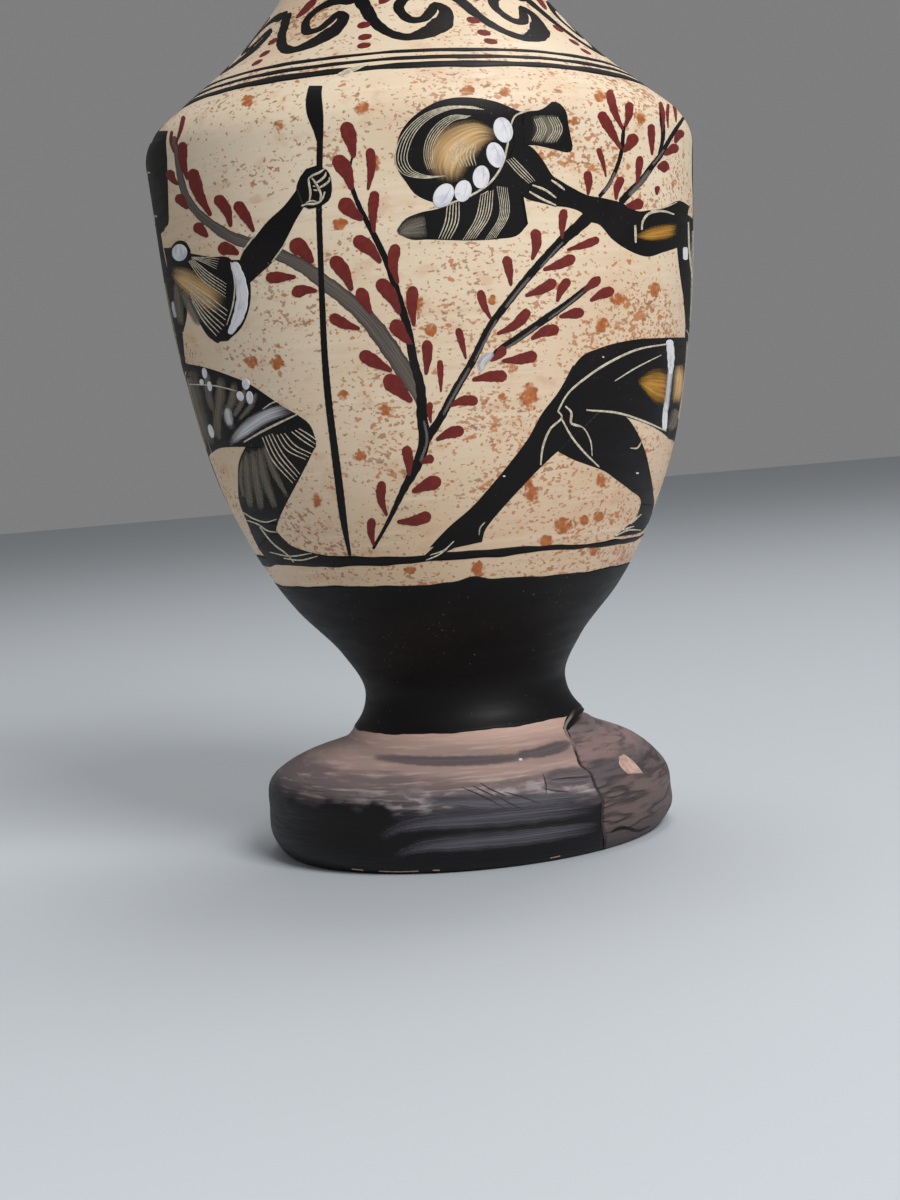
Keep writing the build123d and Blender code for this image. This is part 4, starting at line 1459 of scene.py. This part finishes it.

# Mend and marks on the foot
# Old glue shows as a thin dull line along the break, and left of it the paint is creased; the
# creases are dark strokes, painted shade in the folds. Broad grey streaks cross the black low on
# the front, grey bands cross the brown, and chips show the pale clay. A black notch and a rift are
# painted shade in gaps, and a small white dab is a painted highlight.
# The chips on the lower edge are placed in degrees and millimetres, as on the sides.
glue_widths = np.array((0.9, 0.7, 0.6, 0.6, 0.5, 0.4, 0.5, 0.6, 0.5, 0.6, 0.6)) * mm
glue_lift, mark_lift = 0.06 * mm, 0.05 * mm
band_lift, low_grey_lift, crease_lift = 0.03 * mm, 0.07 * mm, 0.1 * mm
low_grey_streaks = (
    (((378, 840), (396, 829), (424, 823), (462, 820), (524, 814), (600, 806)),
     (10, 20, 24, 26, 24, 18)),
    (((392, 856), (420, 847), (460, 843), (524, 837), (600, 826)), (10, 20, 22, 20, 16)),
    (((420, 800), (452, 801), (490, 803), (540, 800), (596, 795)), (12, 18, 20, 18, 10)),
)
grey_bands = (
    (((372, 757), (396, 759), (424, 761), (462, 761), (500, 759), (530, 756)),
     (9, 12, 13, 13, 13, 11)), (((516, 754), (536, 753), (552, 749), (572, 743)), (8, 13, 16, 12)),
    (((544, 779), (566, 777), (594, 774)), (20, 26, 18)),
)
wrinkles = (
    ((461, 787), (482, 796), (505, 808)), ((473, 786), (481, 790), (494, 796)),
    ((480, 783), (490, 789), (506, 796)), ((496, 795), (509, 803), (522, 809)),
    ((504, 792), (522, 797), (541, 804)), ((543, 774), (546, 785), (546, 794)),
    ((544, 789), (556, 791), (569, 792)), ((551, 780), (570, 778), (592, 777)),
)
wrinkle_widths = (1.0, 2.2, 1.0)
rift = ((611, 832), (620, 828), (627, 828), (638, 831), (650, 826))
rift_widths = (1.5, 3.0, 3.5, 2.5, 1.0)
dark_notch = (((574, 706), (566, 718), (563, 729)), ((584, 708), (577, 718), (569, 730)))
clay_chip = (((618.5, 757), (620, 766), (628, 774)), ((624, 754), (633, 761), (643, 773)))
edge_chips = (
    ((-37, 0.9), (-33, 0.8)), ((-28, 0.7), (-23, 0.6), (-16, 0.7)), ((-12, 0.8), (-10, 0.7)),
    ((21, 0.8), (24, 0.9)),
)
chip_width = 0.34 * mm
painted_glint = (520.5, 759.5, 4, 2.5, 0)
glue_dark, glue_brown, glue_pale = srgb(30, 26, 27), srgb(58, 50, 49), srgb(150, 138, 128)
clay_pale, clay_deep = srgb(206, 174, 158), srgb(180, 146, 130)
low_grey_thick, low_grey_bare = srgb(96, 94, 102), srgb(54, 52, 58)
band_thick, band_bare = srgb(120, 110, 112), srgb(92, 84, 88)
crease_shade_dark, crease_shade_pale = srgb(64, 55, 56), srgb(44, 38, 39)

dull_glue, finish = new_material("dull_glue")
lumps = finish.noise(600.0)
down_crack = finish.part(0, "UV")
glue = lumps.rise(0.35, 0.65).mix(glue_dark, glue_brown)
glue = (down_crack.rise(0.12, 0.2) * down_crack.rise(0.46, 0.36) * 0.7).mix(glue, glue_pale)
finish.surface(glue, 0.6 + 0.2 * lumps, lumps, 0.1 * mm)
bare_clay, finish = new_material("bare_clay")
grit = finish.noise(900.0, detail=4.0)
finish.surface(grit.rise(0.35, 0.65).mix(clay_pale, clay_deep), 0.8 + 0.1 * grit, grit, 0.1 * mm)
foot_grey = wash("foot_grey", low_grey_thick, low_grey_bare, 0.9)
band_grey = wash("band_grey", band_thick, band_bare, 0.85)
wrinkle_shade = wash("crease_shade", crease_shade_dark, crease_shade_pale, 0.78)

glue_line = [stroke(seen(crack_pixels), glue_widths, glue_lift)]
paint("glue_line", glue_line, dull_glue, "adhesive", "repair_adhesive")
# Broad grey streaks across the black, low on the foot's front.
low_streak_films = [drawn(path, widths, low_grey_lift) for path, widths in low_grey_streaks]
paint("low_grey_streaks", low_streak_films, foot_grey, "grey_wash")
bands = [drawn(path, widths, band_lift) for path, widths in grey_bands]
paint("grey_bands", bands, band_grey, "grey_wash")
# Dark strokes along the creases left of the break, painted shade in the folds.
creased = [drawn(path, wrinkle_widths, crease_lift) for path in wrinkles]
paint("wrinkles", creased, wrinkle_shade, "black_slip")
# The notch at the top of the crack and the rift low on the right are painted flat in black: painted
# shade in gaps that the mesh does not cut.
gap_shade_marks = [drawn(rift, rift_widths, mark_lift), patch(*dark_notch, mark_lift)]
paint("gap_shade_marks", gap_shade_marks, black_slip, "black_slip")
chips = [patch(*clay_chip, mark_lift)]
chips += [stroke(at(path), chip_width, mark_lift) for path in edge_chips]
paint("clay_chips", chips, bare_clay, "foot_paint")
# A small white dab on the top of the foot, a painted highlight where the glossy paint catches the
# light.
paint("painted_glint", [dab(*painted_glint, mark_lift)], white_paint, "white_paint")

# Floor and light
# A plain pale floor, a soft light high on the right in front, one behind for the shadow that falls
# towards the viewer, and a weak one on the left. Each lamp has its place, size and level.
floor_reach, floor_grey = 3.0, srgb(203, 209, 215)
lamps = {
    "key": ((0.5, -0.8, 0.88), 0.5, 0.78),
    "overhead": ((0.15, 0.35, 1.2), 0.6, 0.4),
    "fill": ((-0.9, -0.6, 0.5), 0.8, 0.02),
}
lit_middle = np.array((0.0, 0.0, 0.1))
sky_white, sky_strength = (1.0, 1.0, 1.0, 1.0), 0.21

floor_material, finish = new_material("table")
finish.surface(floor_grey, 0.55, finish.noise(300.0), 0.01 * mm)
floor_corners = floor_reach * np.array(((-1, -1, 0), (1, -1, 0), (1, 1, 0), (-1, 1, 0)))
floor_mesh = bpy.data.meshes.new("floor")
floor_mesh.from_pydata(floor_corners.tolist(), [], [(0, 1, 2, 3)])
floor_mesh.materials.append(floor_material)
floor = set_up("floor", floor_mesh)


def soft_light(name, place, size, level):
    """A square lamp that faces the jug's middle, with a power that gives a level of light there."""
    lamp = bpy.data.lights.new(name, "AREA")
    lamp.size = size
    reach = place - lit_middle
    lamp.energy = level * np.pi**2 * (reach @ reach)
    back = reach / np.linalg.norm(reach)
    side = np.cross((0.0, 0.0, 1.0), back)
    side = side / np.linalg.norm(side)
    set_up(name, lamp, (side, np.cross(back, side), back), place)


for name, (place, size, level) in lamps.items():
    soft_light(name, place, size, level)
world = bpy.data.worlds.new("studio")
world.use_nodes = True
world.node_tree.nodes["Background"].inputs["Color"].default_value = sky_white
world.node_tree.nodes["Background"].inputs["Strength"].default_value = sky_strength
bpy.context.scene.world = world
bpy.context.scene.view_settings.view_transform = "Standard"
